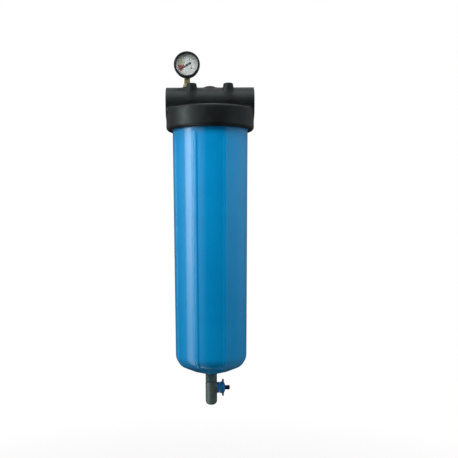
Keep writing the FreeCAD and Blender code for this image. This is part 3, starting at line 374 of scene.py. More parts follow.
def moulded(name, slot, colours, blotch, rough, grain, wave=(18.0, 0.04), **shader):
    """A moulded plastic or a stoved enamel. Its colour clouds between two hues over blotch
    millimetres and its roughness wanders within a range. The tool's grain of (size, height)
    covers it, over a slight waviness of (size, height) where the walls sank as they cooled."""
    material, tree, place = empty_material(name)
    cloud = add(tree, "ShaderNodeTexNoise", {"Vector": place, "Scale": 1 / (blotch * MM), "Detail": 3.0})
    share = add(tree, "ShaderNodeMapRange", {"Value": (cloud, 0), "From Min": 0.35, "From Max": 0.65})
    tint = add(tree, "ShaderNodeMix", {
        0: (share, 0), 6: linear(colours[0]), 7: linear(colours[1])}, data_type="RGBA")
    rubbed = add(tree, "ShaderNodeTexNoise", {"Vector": place, "Scale": 2.5 / (blotch * MM), "Detail": 2.0})
    gloss = add(tree, "ShaderNodeMapRange", {
        "Value": (rubbed, 0), "From Min": 0.35, "From Max": 0.65, "To Min": rough[0], "To Max": rough[1]})
    slow = add(tree, "ShaderNodeTexNoise", {"Vector": place, "Scale": 1 / (wave[0] * MM), "Detail": 1.0})
    sunk = add(tree, "ShaderNodeBump", {"Height": (slow, 0), "Distance": wave[1] * MM, "Strength": 1.0})
    fine = add(tree, "ShaderNodeTexNoise", {"Vector": place, "Scale": 1 / (grain[0] * MM), "Detail": 2.0})
    skin = add(tree, "ShaderNodeBump", {
        "Height": (fine, 0), "Distance": grain[1] * MM, "Strength": 1.0, "Normal": (sunk, 0)})
    main = add(tree, "ShaderNodeBsdfPrincipled", {
        "Base Color": (tint, 2), "Roughness": (gloss, 0), "Normal": (skin, 0),
        **{key.replace("_", " "): value for key, value in shader.items()}})
    add(tree, "ShaderNodeOutputMaterial", {"Surface": (main, 0)})
    return material


def machined(name, colours, rough, line, along):
    """A turned or drawn metal: tarnish in clouds 7 mm across, and tool lines line millimetres
    apart, drawn out by the scales along the three axes."""
    material, tree, place = empty_material(name)
    cloud = add(tree, "ShaderNodeTexNoise", {"Vector": place, "Scale": 1 / (7 * MM), "Detail": 4.0})
    share = add(tree, "ShaderNodeMapRange", {"Value": (cloud, 0), "From Min": 0.38, "From Max": 0.66})
    tint = add(tree, "ShaderNodeMix", {
        0: (share, 0), 6: linear(colours[0]), 7: linear(colours[1])}, data_type="RGBA")
    gloss = add(tree, "ShaderNodeMapRange", {"Value": (share, 0), "To Min": rough[0], "To Max": rough[1]})
    drawn = add(tree, "ShaderNodeMapping", {"Vector": place, "Scale": along})
    lines = add(tree, "ShaderNodeTexNoise", {"Vector": (drawn, 0), "Scale": 1 / (line * MM), "Detail": 2.0})
    skin = add(tree, "ShaderNodeBump", {"Height": (lines, 0), "Distance": 0.02 * MM, "Strength": 1.0})
    main = add(tree, "ShaderNodeBsdfPrincipled", {
        "Base Color": (tint, 2), "Roughness": (gloss, 0), "Normal": (skin, 0), "Metallic": 1.0})
    add(tree, "ShaderNodeOutputMaterial", {"Surface": (main, 0)})
    return material


# Talc-filled polypropylene from a spark-textured tool: near black, satin, patchily rubbed.
# The texture is 0.3 mm on the real one and drawn 0.8 mm to show.
BLACK_PP = moulded("satin_black_polypropylene", "head_plastic", ("131515", "1a1d1d"), 26.0,
                   (0.33, 0.44), (0.8, 0.014), Specular_IOR_Level=0.21, Specular_Tint=linear("edffff"))
# Polypropylene copolymer from a polished tool: saturated blue, glossy, slight orange peel.
BLUE_PP = moulded("glossy_blue_polypropylene", "sump_plastic", ("048bca", "0691cf"), 60.0,
                  (0.10, 0.15), (5.0, 0.006), (45.0, 0.05), Specular_IOR_Level=0.32)
# Moulded PVC fitting: grey-green, dull.
GREY_PVC = moulded("grey_green_pvc", "drain_grey", ("435653", "50635e"), 12.0, (0.40, 0.52), (0.7, 0.012))
TEAL_PVC = moulded("dark_teal_pvc", "drain_grey", ("445f60", "4f696a"), 9.0, (0.40, 0.52), (0.7, 0.012))
# Moulded nylon: deep blue, half glossy.
BLUE_NYLON = moulded("deep_blue_nylon", "drain_blue", ("07639f", "0a70ae"), 9.0, (0.28, 0.40), (0.7, 0.010))
# Machined acetal stem: navy, waxy.
NAVY_ACETAL = moulded("navy_acetal", "drain_navy", ("0c1730", "142243"), 6.0, (0.28, 0.38), (0.6, 0.008))
# Nylon button: black, half glossy.
BLACK_NYLON = moulded("black_nylon", "button_plastic", ("0d0f10", "141718"), 8.0, (0.30, 0.42), (0.6, 0.010),
                      Specular_IOR_Level=0.25)
# Unfilled polypropylene: milky white, waxy, lets some light in.
NATURAL_PP = moulded("natural_polypropylene", "basket_plastic", ("d8d8cf", "e2e2db"), 30.0, (0.35, 0.45),
                     (1.2, 0.012), Subsurface_Weight=0.15, Subsurface_Scale=0.003)
RING_PP = moulded("natural_polypropylene_ring", "ring_plastic", ("c8cbc9", "d6d8d7"), 18.0, (0.35, 0.45),
                  (1.0, 0.012), Subsurface_Weight=0.15, Subsurface_Scale=0.003)
# Nitrile rubber: black, matt, with a bloom.
RUBBER = moulded("nitrile_rubber", "rubber", ("151617", "232526"), 4.0, (0.62, 0.80), (0.5, 0.012))
# Brass turned from bar and left in the air: olive gold, browner where it has tarnished.
BRASS = machined("turned_brass", ("c9c29c", "a59f78"), (0.36, 0.52), 1.6, (1, 1, 6))
# Stainless wire and screws: grey, drawn along the length.
STEEL = machined("stainless_steel", ("b4b4b0", "9a9a97"), (0.22, 0.34), 1.0, (4, 4, 1))
# Black enamel stoved on steel: glossy, slight orange peel.
BLACK_ENAMEL = moulded("black_enamel", "gauge_black", ("14181a", "1c2224"), 9.0, (0.22, 0.32), (1.6, 0.012),
                       Specular_IOR_Level=0.35)
# White enamel dial: matt, very even.
WHITE_ENAMEL = moulded("white_dial_enamel", "dial_white", ("e6eae7", "dae0dd"), 7.0, (0.45, 0.55),
                       (0.8, 0.003), (9.0, 0.01))
# Screen-printed inks on the dial, and the pointer's stoved enamel.
DARK_INK = moulded("dark_dial_ink", "needle_black", ("20262a", "2a3034"), 5.0, (0.45, 0.55), (0.5, 0.003))
RED_INK = moulded("red_dial_ink", "dial_white", ("ae100e", "960c0a"), 5.0, (0.45, 0.55), (0.5, 0.003))
PALE_INK = moulded("pale_dial_ink", "dial_white", ("c2c6a6", "b7bc98"), 5.0, (0.45, 0.55), (0.5, 0.003))
POINTER_BLACK = moulded("pointer_enamel", "needle_black", ("121415", "1b1e1f"), 5.0, (0.30, 0.40),
                        (0.5, 0.003))


def window_plastic():
    """Clear polycarbonate: almost unseen, with a gloss where it faces a light, a little smeared
    over 12 mm."""
    material, tree, place = empty_material("clear_polycarbonate")
    smear = add(tree, "ShaderNodeTexNoise", {"Vector": place, "Scale": 1 / (12 * MM), "Detail": 2.0})
    gloss = add(tree, "ShaderNodeMapRange", {"Value": (smear, 0), "To Min": 0.02, "To Max": 0.08})
    main = add(tree, "ShaderNodeBsdfPrincipled", {
        "Base Color": linear("8a9593"), "Alpha": 0.10, "Roughness": (gloss, 0), "Specular IOR Level": 0.6})
    add(tree, "ShaderNodeOutputMaterial", {"Surface": (main, 0)})
    return material


def needle_felt():
    """Polypropylene needle felt: fibres that lie all ways, singed smooth in patches 8 mm across,
    so the colour is mottled and the surface matt. The fibres are 0.03 mm on the real one
    and drawn 0.4 mm wide to show."""
    material, tree, place = empty_material("needle_felt")
    fibres = []
    for along in ((1, 1, 0.22), (0.25, 0.25, 1)):
        drawn = add(tree, "ShaderNodeMapping", {"Vector": place, "Scale": along})
        fibres.append(add(tree, "ShaderNodeTexNoise", {
            "Vector": (drawn, 0), "Scale": 1 / (0.4 * MM), "Detail": 4.0, "Roughness": 0.7}))
    both = add(tree, "ShaderNodeMath", {0: (fibres[0], 0), 1: (fibres[1], 0)}, operation="MAXIMUM")
    share = add(tree, "ShaderNodeMapRange", {"Value": (both, 0), "From Min": 0.4, "From Max": 0.75})
    tint = add(tree, "ShaderNodeMix", {
        0: (share, 0), 6: linear("cfc8b6"), 7: linear("e6e1d3")}, data_type="RGBA")
    singed = add(tree, "ShaderNodeTexNoise", {"Vector": place, "Scale": 1 / (8 * MM), "Detail": 3.0})
    gloss = add(tree, "ShaderNodeMapRange", {"Value": (singed, 0), "To Min": 0.70, "To Max": 0.98})
    hollows = add(tree, "ShaderNodeBump", {"Height": (singed, 0), "Distance": 0.25 * MM, "Strength": 1.0})
    skin = add(tree, "ShaderNodeBump", {
        "Height": (both, 0), "Distance": 0.15 * MM, "Strength": 1.0, "Normal": (hollows, 0)})
    main = add(tree, "ShaderNodeBsdfPrincipled", {
        "Base Color": (tint, 2), "Roughness": (gloss, 0), "Normal": (skin, 0),
        "Specular IOR Level": 0.2, "Sheen Weight": 0.3, "Sheen Roughness": 0.5})
    add(tree, "ShaderNodeOutputMaterial", {"Surface": (main, 0)})
    return material


WINDOW = window_plastic()
FELT = needle_felt()


# The head

def head_field(x, y, z):
    """The head: a rounded skirt with a slightly raised crown, joined by fillets to a level
    tube, four drafted bosses, the gauge's boss and the button's; then its bores."""
    crown_rise, crown_radius, crown_foot = 4, 86, -80
    boss_radius, boss_foot, draft = 10.0, -38, math.tan(math.radians(6))
    button_boss, gauge_boss, small_foot = 14.5, 10.5, -24
    inlet_end, outlet_end = 20, 44
    recess_radius, recess_depth, stem_bore = 12.0, 4.9, 3.2
    insert_bore, insert_depth = 4.3, 14.1
    passage_middle, passage_half, outlet_bore = 57.25, 13.25, 11
    spigot_middle, spigot_half, spigot_reach = 40, 4, 14
    mouth_radius, inlet_radius = 36, 18
    radial = np.hypot(x, y)
    tube = np.hypot(y, z - PORT_AXIS)
    bolt = np.hypot(np.abs(x) - BOLT_X, np.abs(y) - BOLT_Y)
    gauge = np.hypot(x - GAUGE_X, y)

    shape = puck(radial, z, HEAD_RADIUS, SKIRT_RIM, SHOULDER, 8.0, 4.0)
    crown = z - SHOULDER - crown_rise * (1 - radial / HEAD_RADIUS)
    shape = join(shape, shared(crown, radial - crown_radius, crown_foot - z), 3.0)
    shape = join(shape, puck(tube, x, PORT_RADIUS, -PORT_END, PORT_END, 1.5, 1.5), 7.0)
    shape = join(shape, puck(bolt + z * draft, z, boss_radius, boss_foot, 0, 1.0, 2.6), 5.0)
    shape = join(shape, puck(radial, z, button_boss, small_foot, CREST, 1.0, 1.0), 2.0)
    shape = join(shape, puck(gauge, z, gauge_boss, small_foot, CREST + 0.5, 1.0, 1.0), 2.5)

    # The ports' end faces, the space for their threads with its chamfer, and the waterway, which
    # a wall parts between inlet and outlet
    shape = cut(shape, PORT_END - 0.05 - np.abs(x), 1.2)
    thread = np.maximum(tube - PORT_THREAD - 0.5, PORT_END - THREAD_DEPTH - np.abs(x))
    chamfer = (tube - PORT_THREAD - 2.2 + PORT_END - np.abs(x)) * 0.7
    shape = cut(shape, np.minimum(thread, chamfer), 0.6)
    shape = cut(shape, np.maximum(tube - WATERWAY, np.minimum(x - inlet_end, outlet_end - x)), 0.8)

    # The button's recess, and the bores for its stem, the inserts and the sump
    shape = cut(shape, puck(radial, z, recess_radius, CREST - recess_depth, 6, 0, 0), 0.8)
    shape = cut(shape, np.maximum(radial - stem_bore, PORT_AXIS - z), 0.3)
    shape = cut(shape, np.maximum(bolt - insert_bore, -insert_depth - z), 0.5)
    shape = cut(shape, puck(radial, z, SKIRT_BORE, SKIRT_RIM - 20, LAND, 0, 0.5), 0.8)

    # The round passage outside the spigot, the spigot, and the ways down from the waterway
    passage = np.abs(radial - passage_middle) - passage_half
    shape = cut(shape, shared(passage, z - CHAMBER, LAND - 2 - z), 0.8)
    spigot = np.abs(radial - spigot_middle) - spigot_half
    shape = join(shape, shared(spigot, LAND - spigot_reach - z, z - CHAMBER - 1), 0.8)
    shape = cut(shape, np.maximum(radial - mouth_radius, z - CHAMBER), 0.8)
    shape = cut(shape, np.maximum(radial - inlet_radius, z - PORT_AXIS), 0.8)
    outlet = np.hypot(x - passage_middle, y) - outlet_bore
    return cut(shape, np.maximum(outlet, z - PORT_AXIS), 0.8)


def make_head():
    """The head's moulding, and the pipe threads in its two ends."""
    step = 1.4
    low, high = (-94.4, -94.4, -100.3), (94.6, 94.6, 2.6)
    piece("head_moulding", [nets(head_field, low, high, step)], BLACK_PP, "head", "head",
          sharp=0, even=False)
    pitch, height, run_in, run_out = 2.2, 1.3, 2.5, 2
    depth = np.linspace(0, THREAD_DEPTH, 97)
    angle = circle(120)
    turns = depth[:, None] / pitch + angle / (2 * math.pi)
    fade = (np.clip(depth / run_in, 0, 1) * np.clip((THREAD_DEPTH - depth) / run_out, 0, 1))[:, None]
    inner = PORT_THREAD - 0.9 + thread_profile(turns, height) * fade + 1.1 * (1 - fade)
    rows = np.concatenate([inner, np.full((2, len(angle)), PORT_THREAD + 1.4)])
    inward = np.concatenate([depth, [THREAD_DEPTH, 0.0]])[:, None] + 0 * angle
    parts = []
    for side in (-1, 1):
        along = side * (PORT_END - 0.6 - inward)
        grid = np.stack([along, rows * np.cos(angle), rows * np.sin(angle) + PORT_AXIS], -1)
        parts.append((grid, quads(len(rows), len(angle), True)))
    piece("port_threads", parts, BLACK_PP, "head", even=False)


def make_inserts():
    """Four brass inserts: a ring whose bore carries a 1 mm thread, its top edge chamfered."""
    length, crest, outside, sunk = 13.8, 2.75, 4.38, 0.02
    depth = np.linspace(0, length, 111)
    angle = circle(40)
    fade = np.clip((depth - 0.7) / 0.6, 0, 1)[:, None]
    bore = crest + 0.45 * (1 - fade) + thread_profile(depth[:, None] + angle / (2 * math.pi), 0.5) * fade
    outer = outside + 0 * angle
    rows = np.concatenate([bore, [outer, outer, outer - 0.3]])
    level = -np.concatenate([depth, [length, 0.35, 0.05]])[:, None]
    parts = []
    for x in (-BOLT_X, BOLT_X):
        for y in (-BOLT_Y, BOLT_Y):
            grid = around(rows, angle, level - sunk, (x, y))
            parts.append((grid, quads(len(rows), len(angle), True)))
    piece("bracket_inserts", parts, BRASS, "head", "mounting_inserts")


def make_button():
    """Vent button: a low dome with a rolled edge and a raised ring, on its stem."""
    corners = [(0, -3.0), (3.4, -3.05, 6), (7.4, -3.5, 3), (7.9, -4.1, 0.5), (8.5, -4.1, 0.5),
               (9.0, -3.9, 0.5), (11.55, -5.4, 1.8), (11.55, -7.55, 0.5), (3.0, -7.6), (3.0, -22.6),
               (0, -22.6)]
    piece("vent_button_cap", [lathe(corners, "z", (0, 0, 0), 96)], BLACK_NYLON, "vent_button", "vent_button")


def make_spring():
    """The button's return spring: a round wire, drawn out along a helix of two turns that lies
    flat at both ends."""
    floor, cap, turns, radius, wire, clear = -10.6, -7.6, 2.0, 6.5, 0.34, 0.02
    flat_end = 0.08
    along = np.linspace(0, 1, 145)[:, None]
    angle = 2 * math.pi * turns * along
    rise = np.clip((along - flat_end) / (1 - 2 * flat_end), 0, 1)
    round_wire = circle(14)
    thick = wire * ((along > 0) & (along < 1))
    out = radius + thick * np.cos(round_wire)
    up = floor + wire + clear + (cap - floor - 2 * (wire + clear)) * rise + thick * np.sin(round_wire)
    coil = around(out, angle, up), quads(*up.shape)
    spring = piece("vent_return_spring", [coil], STEEL, "head", "vent_spring", even=False)
    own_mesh(spring)


# The sump

def make_sump():
    """The sump: its wall is a profile turned round Z. Ribs stand out along the wall's normal by a
    smooth step of the distance round the wall from the rib's middle, and a coarse
    thread lies under the rim."""
    ribs, rib_half, rib_foot, rib_rise = 8, 1.2, 5.4, 1.4
    lead, thread_height, thread_first, thread_last = 10, 2.6, 1.0, 19.5
    drain_hole, drain_boss, seal_bore = 8.0, 13.2, 74.2
    outer = [(SUMP_THREAD - 0.5, 0), (SUMP_THREAD, -0.5), (SUMP_THREAD, -21, 0.6), (SUMP_TOP, -25.3, 2.0),
             (SUMP_FOOT, FOOT_RISE - SUMP_LENGTH - 1.8, 27), (27.0, -SUMP_LENGTH - 1.0, 10),
             (drain_boss, -SUMP_LENGTH - 2.0, 2.0), (drain_boss, -SUMP_LENGTH - 5, 0.6),
             (drain_hole, -SUMP_LENGTH - 5)]
    inner = [(drain_hole, SUMP_WALL - SUMP_LENGTH),
             (SUMP_FOOT - SUMP_WALL, FOOT_RISE + SUMP_WALL - SUMP_LENGTH, 23.5),
             (SUMP_TOP - SUMP_WALL, -7), (seal_bore, -7, 0.8), (seal_bore, 0, 0.5)]
    out = rounded(outer, 14, closed=False)
    fine = np.stack([np.full(46, SUMP_THREAD), np.linspace(-0.9, -20.0, 46)], -1)
    out = spaced(np.concatenate([out[:2], fine, out[2:]]), 5.0)
    line = np.concatenate([out, spaced(rounded(inner, 9, closed=False), 12.0)])
    radius, height = line[:, 0], line[:, 1]
    slope = np.gradient(line, axis=0)
    length = np.maximum(np.linalg.norm(slope, axis=1), 1e-6)
    across, up = -slope[:, 1] / length, slope[:, 0] / length
    wall = np.arange(len(line)) < len(out)

    # The ribs begin 34 mm below the rim and run out 24 mm from the middle of the dome
    rise = rib_rise * wall * eased((-height - 34) / 9) * eased((radius - 24) / 12)
    flank = np.linspace(rib_half, rib_foot, 7)
    side = np.concatenate([-flank[::-1], [0], flank])
    lobe = eased((rib_foot - np.abs(side)) / (rib_foot - rib_half))
    gap = np.linspace(0, 1, 15)[1:-1]
    pitch = 2 * math.pi / ribs
    angles, lifts = [], []
    for k in range(ribs):
        middle = (k + 0.5) * pitch
        edge = np.minimum(rib_foot / radius, pitch / 4)[:, None]
        on_rib = middle + side / rib_foot * edge
        between = middle + edge + gap * (pitch - 2 * edge)
        angles += [on_rib, between]
        lifts += [rise[:, None] * lobe, np.zeros((len(line), len(gap)))]
    angle, lift = np.concatenate(angles, 1), np.concatenate(lifts, 1)

    deep = -height[:, None]
    fade = eased((deep - thread_first) / 1.2) * eased((thread_last - deep) / 1.2) * wall[:, None]
    groove = thread_profile(deep / lead + angle / (2 * math.pi), thread_height, 0.3) * fade
    groove = groove * (radius[:, None] > SUMP_THREAD - 0.1)
    r = radius[:, None] + across[:, None] * lift - groove
    z = SUMP_RIM + height[:, None] + up[:, None] * lift
    shell = around(r, angle, z), quads(*angle.shape, True)
    piece("sump_shell", [shell], BLUE_PP, "sump", "sump", sharp=60)


def make_bag():
    """Filter bag: a felt sleeve from the ring to a rounded foot. Round the sleeve its radius dips
    in shallow folds that deepen towards the foot, and the seam stands a little proud."""
    top, foot, corner = -76.0, -539.0, 24.0
    mouth, taper = 51.0, 3.6
    up = np.concatenate([[top, top - 1.5], np.linspace(top - 8, foot + corner, 60)])
    sleeve = np.stack([mouth - taper * (top - up) / (top - foot), up], -1)
    bend = np.linspace(0, math.pi / 2, 14)[1:]
    end = sleeve[-1, 0] - corner
    round_end = np.stack([end + corner * np.cos(bend), foot + corner - corner * np.sin(bend)], -1)
    flat = np.stack([np.linspace(end, 0.0, 9)[1:], np.full(8, foot)], -1)
    line = np.concatenate([sleeve, round_end, flat])
    angle = circle(144)
    down = (top - line[:, 1:]) / (top - foot)
    folds = 0.5 + 0.5 * np.sin(5 * angle + 1.3 * np.sin(3 * down * math.pi) + 0.6)
    puckers = 0.5 + 0.5 * np.sin(11 * angle + 4 * down)
    seam = 0.5 * np.exp(-((angle - math.pi) * 50 / 2.0) ** 2)
    depth = (1.6 * folds * np.clip(down * 2, 0, 1) + 0.6 * puckers * np.clip(down, 0.1, 1)) - seam
    r = np.maximum(line[:, :1] - depth * np.clip(line[:, :1] / 30, 0, 1), 0)
    grid = around(r, angle, line[:, 1:])
    points, whole, tris = weld(grid.reshape(-1, 3), quads(*r.shape))
    mesh = bpy.data.meshes.new("felt_bag")
    mesh.from_pydata((points * MM).tolist(), [], whole.tolist() + tris.tolist())
    mesh.shade_smooth()
    mesh.materials.append(FELT)
    bag = placed("felt_bag", mesh)
    wall = bag.modifiers.new("felt", "SOLIDIFY")
    wall.thickness, wall.offset = 1.5 * MM, 0.0
    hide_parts("filter_bag")
    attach(bag, "basket")


# The gauge

def make_gauge():
    """Case, rolled bezel, wrench block, threaded neck, hexagon bushing."""
    centre = (GAUGE_X, 0, GAUGE_Z)
    case = [(0, 12), (9, 12, 1), (9.6, 11.4, 0.5), (21.8, 11.4, 1), (22.6, 12, 0.5), (25.6, 12, 2.6),
            (25.6, -9), (24.1, -9), (24.1, 10.5, 1.5), (0, 10.5)]
    piece("gauge_cup", [lathe(case, "y", centre, 144)], BLACK_ENAMEL, "head", "gauge_case")
    bezel = [(22.8, -13.3), (22.9, -14.6, 0.4), (23.6, -15.0, 0.4), (26.2, -15.0, 1.1), (27.3, -13.6, 0.9),
             (27.3, -7.4, 0.5), (26.9, -6.9, 0.3), (26.9, -6.0, 0.3), (25.72, -6.0), (25.72, -13.2),
             (22.8, -13.2)]
    piece("gauge_bezel_ring", [lathe(bezel, "y", centre, 144)], BLACK_ENAMEL, "head", "gauge_bezel")
    block = rounded([(6.2, 5.5, 0.8), (-6.2, 5.5, 0.8), (-6.2, -5.5, 0.8), (6.2, -5.5, 0.8)], 4)
    block_foot, block_top = 3.0, 20.7
    piece("gauge_wrench_block", [prism(block + [GAUGE_X, 0], block_foot, block_top, 0.7)], BRASS,
          "head", "gauge_stem")
    crest, pitch, height = 5.08, 1.41, 0.75
    up = np.linspace(0.4, 3.6, 33)
    angle = circle(72)
    r = crest - thread_profile(up[:, None] / pitch + angle / (2 * math.pi), height)
    r = np.concatenate([0 * r[:1], r, 0 * r[:1]])
    z = np.concatenate([up[:1], up, up[-1:]])[:, None]
    neck = around(r, angle, z, (GAUGE_X, 0)), quads(*r.shape)
    piece("gauge_neck_thread", [neck], BRASS, "head", "gauge_stem", even=False)
    bushing = hexagon(14.3, -5.5, 1.0, (GAUGE_X, 0), 5.0)
    piece("gauge_bushing_hex", [bushing], BRASS, "head", "gauge_bushing")


def hexagon(flats, low, high, at, hole):
    """A hexagon bar with chamfered corners and a hole: its radius is the lesser of the hexagon's,
    flats / 2 over the cosine of the angle from the nearest flat, and that of a 30 degree cone."""
    angle = circle(144)
    wall = flats / 2 / np.cos(angle % (math.pi / 3) - math.pi / 6)
    slope = math.tan(math.radians(60))
    rise = np.linspace(0, (flats / math.sqrt(3) - flats / 2) / slope + 0.05, 6)
    cone = flats / 2 - 0.2 + rise * slope
    skin = np.minimum(wall, cone[:, None])
    rows = np.concatenate([[0 * angle + hole], skin, skin[::-1], [0 * angle + hole]])
    level = np.concatenate([[low], low + rise, high - rise[::-1], [high]])[:, None]
    return around(rows, angle, level, at), quads(len(rows), len(angle), True)


def make_dial():
    """What is printed on the dial: scale lines, a scale arc, numbers and two coloured zones.
    A zone or arc is a band between two radii, swept over an angle."""
    centre = (GAUGE_X, 0, GAUGE_Z)
    start, sweep, thick = 212.0, 244.0, 0.06
    front, back = DIAL_FACE - thick, DIAL_FACE + 0.02
    zone_radii, red, pale = (6.0, 18.3), (180, 226), (126, 180)
    arc_radii, tick_foot, divisions, number_radius, number_size = (18.4, 18.7), 18.6, 50, 15.4, 4.4

    def band(inside, outside, first, last, steps):
        a = np.radians(np.linspace(first, last, steps))[:, None]
        r = np.array([inside, outside, outside, inside])
        y = np.array([front, front, back, back])
        grid = np.stack([GAUGE_X + r * np.cos(a), y + 0 * a, GAUGE_Z + r * np.sin(a)], -1)
        ends = np.array([[0, 1, 2, 3], [3, 2, 1, 0]]) + np.array([[0], [4 * (steps - 1)]])
        return grid, np.concatenate([quads(steps, 4), ends])

    lines = [band(*arc_radii, start - sweep, start, 90)]
    for k in range(divisions + 1):
        a = start - sweep * k / divisions
        size, width = (3.6, 1.1) if k % 5 == 0 else (1.9, 0.6)
        lines.append(band(tick_foot, tick_foot + size, a - width / 2, a + width / 2, 2))
    piece("dial_scale", lines, DARK_INK, "head", sharp=30, even=False)
    piece("dial_red_zone", [band(*zone_radii, *red, 24)], RED_INK, "head", sharp=30, even=False)
    piece("dial_pale_zone", [band(*zone_radii, *pale, 24)], PALE_INK, "head", sharp=30, even=False)
    for k in range(6):
        a = math.radians(start - sweep * k / 5)
        across, up = number_radius * math.cos(a), number_radius * math.sin(a)
        number("dial_number_%d" % (2 * k), str(2 * k), number_size, across, up, front)
    screw = [(0, -7.2), (1.75, -7.2, 0.4), (1.75, -6.6), (0, -6.6)]
    screws = [lathe(screw, "y", (GAUGE_X + side * 9, 0, GAUGE_Z - 6.5), 32) for side in (-1, 1)]
    piece("dial_screw_heads", screws, STEEL, "head", "dial_screws")

    # The pointer rests at the scale's start
    needle = rounded([(-9.5, 2.1, 0.9), (-9.5, -2.1, 0.9), (-4, -1.1, 2), (17.5, -0.35, 0.2),
                      (17.5, 0.35, 0.2), (-4, 1.1, 2)], 4)
    turn = math.radians(start)
    needle = needle @ np.array([[math.cos(turn), math.sin(turn)], [-math.sin(turn), math.cos(turn)]])
    hub = lathe([(0, -8.9), (1.2, -8.85, 0.6), (2.2, -8.3, 0.3), (2.2, -7.8), (0, -7.8)], "y", centre, 48)
    piece("gauge_needle", [prism(needle, -8.3, -7.8, 0.08, "xz", centre), hub], POINTER_BLACK,
          "gauge_pointer", "gauge_pointer")


def number(name, words, size, across, up, front):
    """A generic number as a thin raised plate on the dial."""
    text = bpy.data.curves.new(name, "FONT")
    text.body, text.size, text.extrude = words, size * MM, 0.02 * MM
    text.align_x, text.align_y = "CENTER", "CENTER"
    source = placed(name + "_text", text)
    bpy.context.view_layer.update()
    mesh = bpy.data.meshes.new_from_object(source.evaluated_get(bpy.context.evaluated_depsgraph_get()))
    bpy.data.objects.remove(source)
    flat = np.empty(len(mesh.vertices) * 3)
    mesh.vertices.foreach_get("co", flat)
    a, b, raised = flat.reshape(-1, 3).T
    place = np.stack([a + (GAUGE_X + across) * MM, front * MM - raised, b + (GAUGE_Z + up) * MM], -1)
    mesh.vertices.foreach_set("co", place.ravel())
    mesh.name = name
    mesh.materials.clear()
    mesh.materials.append(DARK_INK)
    item = placed(name, mesh)
    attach(item, "head")


# The drain

def leg_field(x, y, z):
    """The drain leg: a round bar with a rounded foot, joined to the cock's face; then its bores."""
    leg_radius, face_radius, face = 12.1, 11.2, 12.4
    tail_bore, tail_depth, water_bore, floor = 7.5, 4.8, 4.8, 9
    cock_bore, cock_floor, cock_hole = 6.6, 6.1, 2.5
    radial, side = np.hypot(x, y), np.hypot(y, z - COCK_AXIS)
    shape = puck(radial, z, leg_radius, LEG_FOOT, LEG_TOP, 9.0, 1.4)
    shape = join(shape, puck(side, x, face_radius, 4, face, 0.5, 0.5), 2.5)
    shape = cut(shape, np.maximum(radial - tail_bore, LEG_TOP - tail_depth - z), 0.5)
    shape = cut(shape, np.maximum(radial - water_bore, LEG_FOOT + floor - z), 0.5)
    shape = cut(shape, np.maximum(side - cock_bore, cock_floor - x), 0.5)
    return cut(shape, np.maximum(side - cock_hole, -x), 0.5)


def knob_field(x, y, z):
    """The wing knob: a barrel and a taper, joined by fillets to two wings that narrow towards
    their tips; then its bore."""
    radius, back, front, edge, bore = 11.2, 17.9, 28.9, 0.35, 5.0
    wing_half, wing_reach, wing_edge, wing_root = 1.6, 17.6, 0.4, 5
    up = z - COCK_AXIS
    radial, tall = np.hypot(y, up), np.abs(up)
    taper = radial - radius + np.clip((x - 25.7) / 3.2, 0, 1) * 5.0
    shape = shared(taper * 0.75, back + edge - x, x - front + edge) - edge
    lean = np.clip((tall - 8) / 9.6, 0, 1)
    near, far = 19.9 + 2.6 * np.clip((tall - 8) / 6.5, 0, 1) ** 0.7, 26.6 - 0.4 * lean
    wing = shared(np.abs(y) - wing_half + 0.25 * lean, tall - wing_reach, near - x, x - far)
    wing = np.maximum(wing + wing_edge, wing_root - tall) - wing_edge
    shape = join(shape, wing * 0.9, 2.0)
    return cut(shape, radial - bore, 0.5)


def make_drain():
    """Hexagon nipple, leg, cock hub, wing knob and hollow stem."""
    at = (0, 0, COCK_AXIS)
    nipple = hexagon(21.0, LEG_TOP, DRAIN_FACE, (0, 0), 5.0)
    piece("drain_nipple_hex", [nipple], TEAL_PVC, "sump", "drain_nipple")
    leg = nets(leg_field, (-13.2, -13.2, -675.2), (13.9, 13.9, -623.9), 0.6)
    piece("drain_leg_moulding", [leg], GREY_PVC, "sump", "drain_leg", sharp=0, even=False)
    hub = [(2.5, 6.2), (6.5, 6.2, 0.4), (6.5, 12.4), (11.15, 12.4, 0.5), (11.15, 17.6, 0.6),
           (5.2, 17.6, 0.3), (5.2, 7.6), (2.5, 7.6)]
    piece("drain_cock_hub", [lathe(hub, "x", at, 96)], BLUE_NYLON, "sump", "drain_cock")
    knob = nets(knob_field, (16.9, -12.4, -656.1), (30.2, 12.6, -617.9), 0.42)
    piece("drain_knob_moulding", [knob], BLUE_NYLON, "drain_knob", "drain_wing_knob", sharp=0, even=False)
    stem = [(0, 9.2), (4.9, 9.2, 0.2), (4.9, 14.2), (4.0, 14.2), (4.0, 15.8), (4.9, 15.8), (4.9, 28.9),
            (4.6, 28.9), (4.6, 31.0, 0.2), (4.3, 31.3, 0.2), (4.3, 31.9, 0.2), (4.6, 32.2, 0.2),
            (4.6, 38.7, 0.7), (2.6, 38.7, 0.6), (2.6, 11.0), (0, 11.0)]
    piece("drain_stem_tube", [lathe(stem, "x", at, 72)], NAVY_ACETAL, "drain_stem", "drain_stem")


# The stage, in metres

def seen_by_eye(tree):
    """Whether a ray is the camera's, or comes through glass or off gloss: the greatest of the
    three marks."""
    rays = add(tree, "ShaderNodeLightPath")
    straight = add(tree, "ShaderNodeMath", {
        0: (rays, "Is Camera Ray"), 1: (rays, "Is Transmission Ray")}, operation="MAXIMUM")
    return add(tree, "ShaderNodeMath", {0: (straight, 0), 1: (rays, "Is Glossy Ray")}, operation="MAXIMUM")


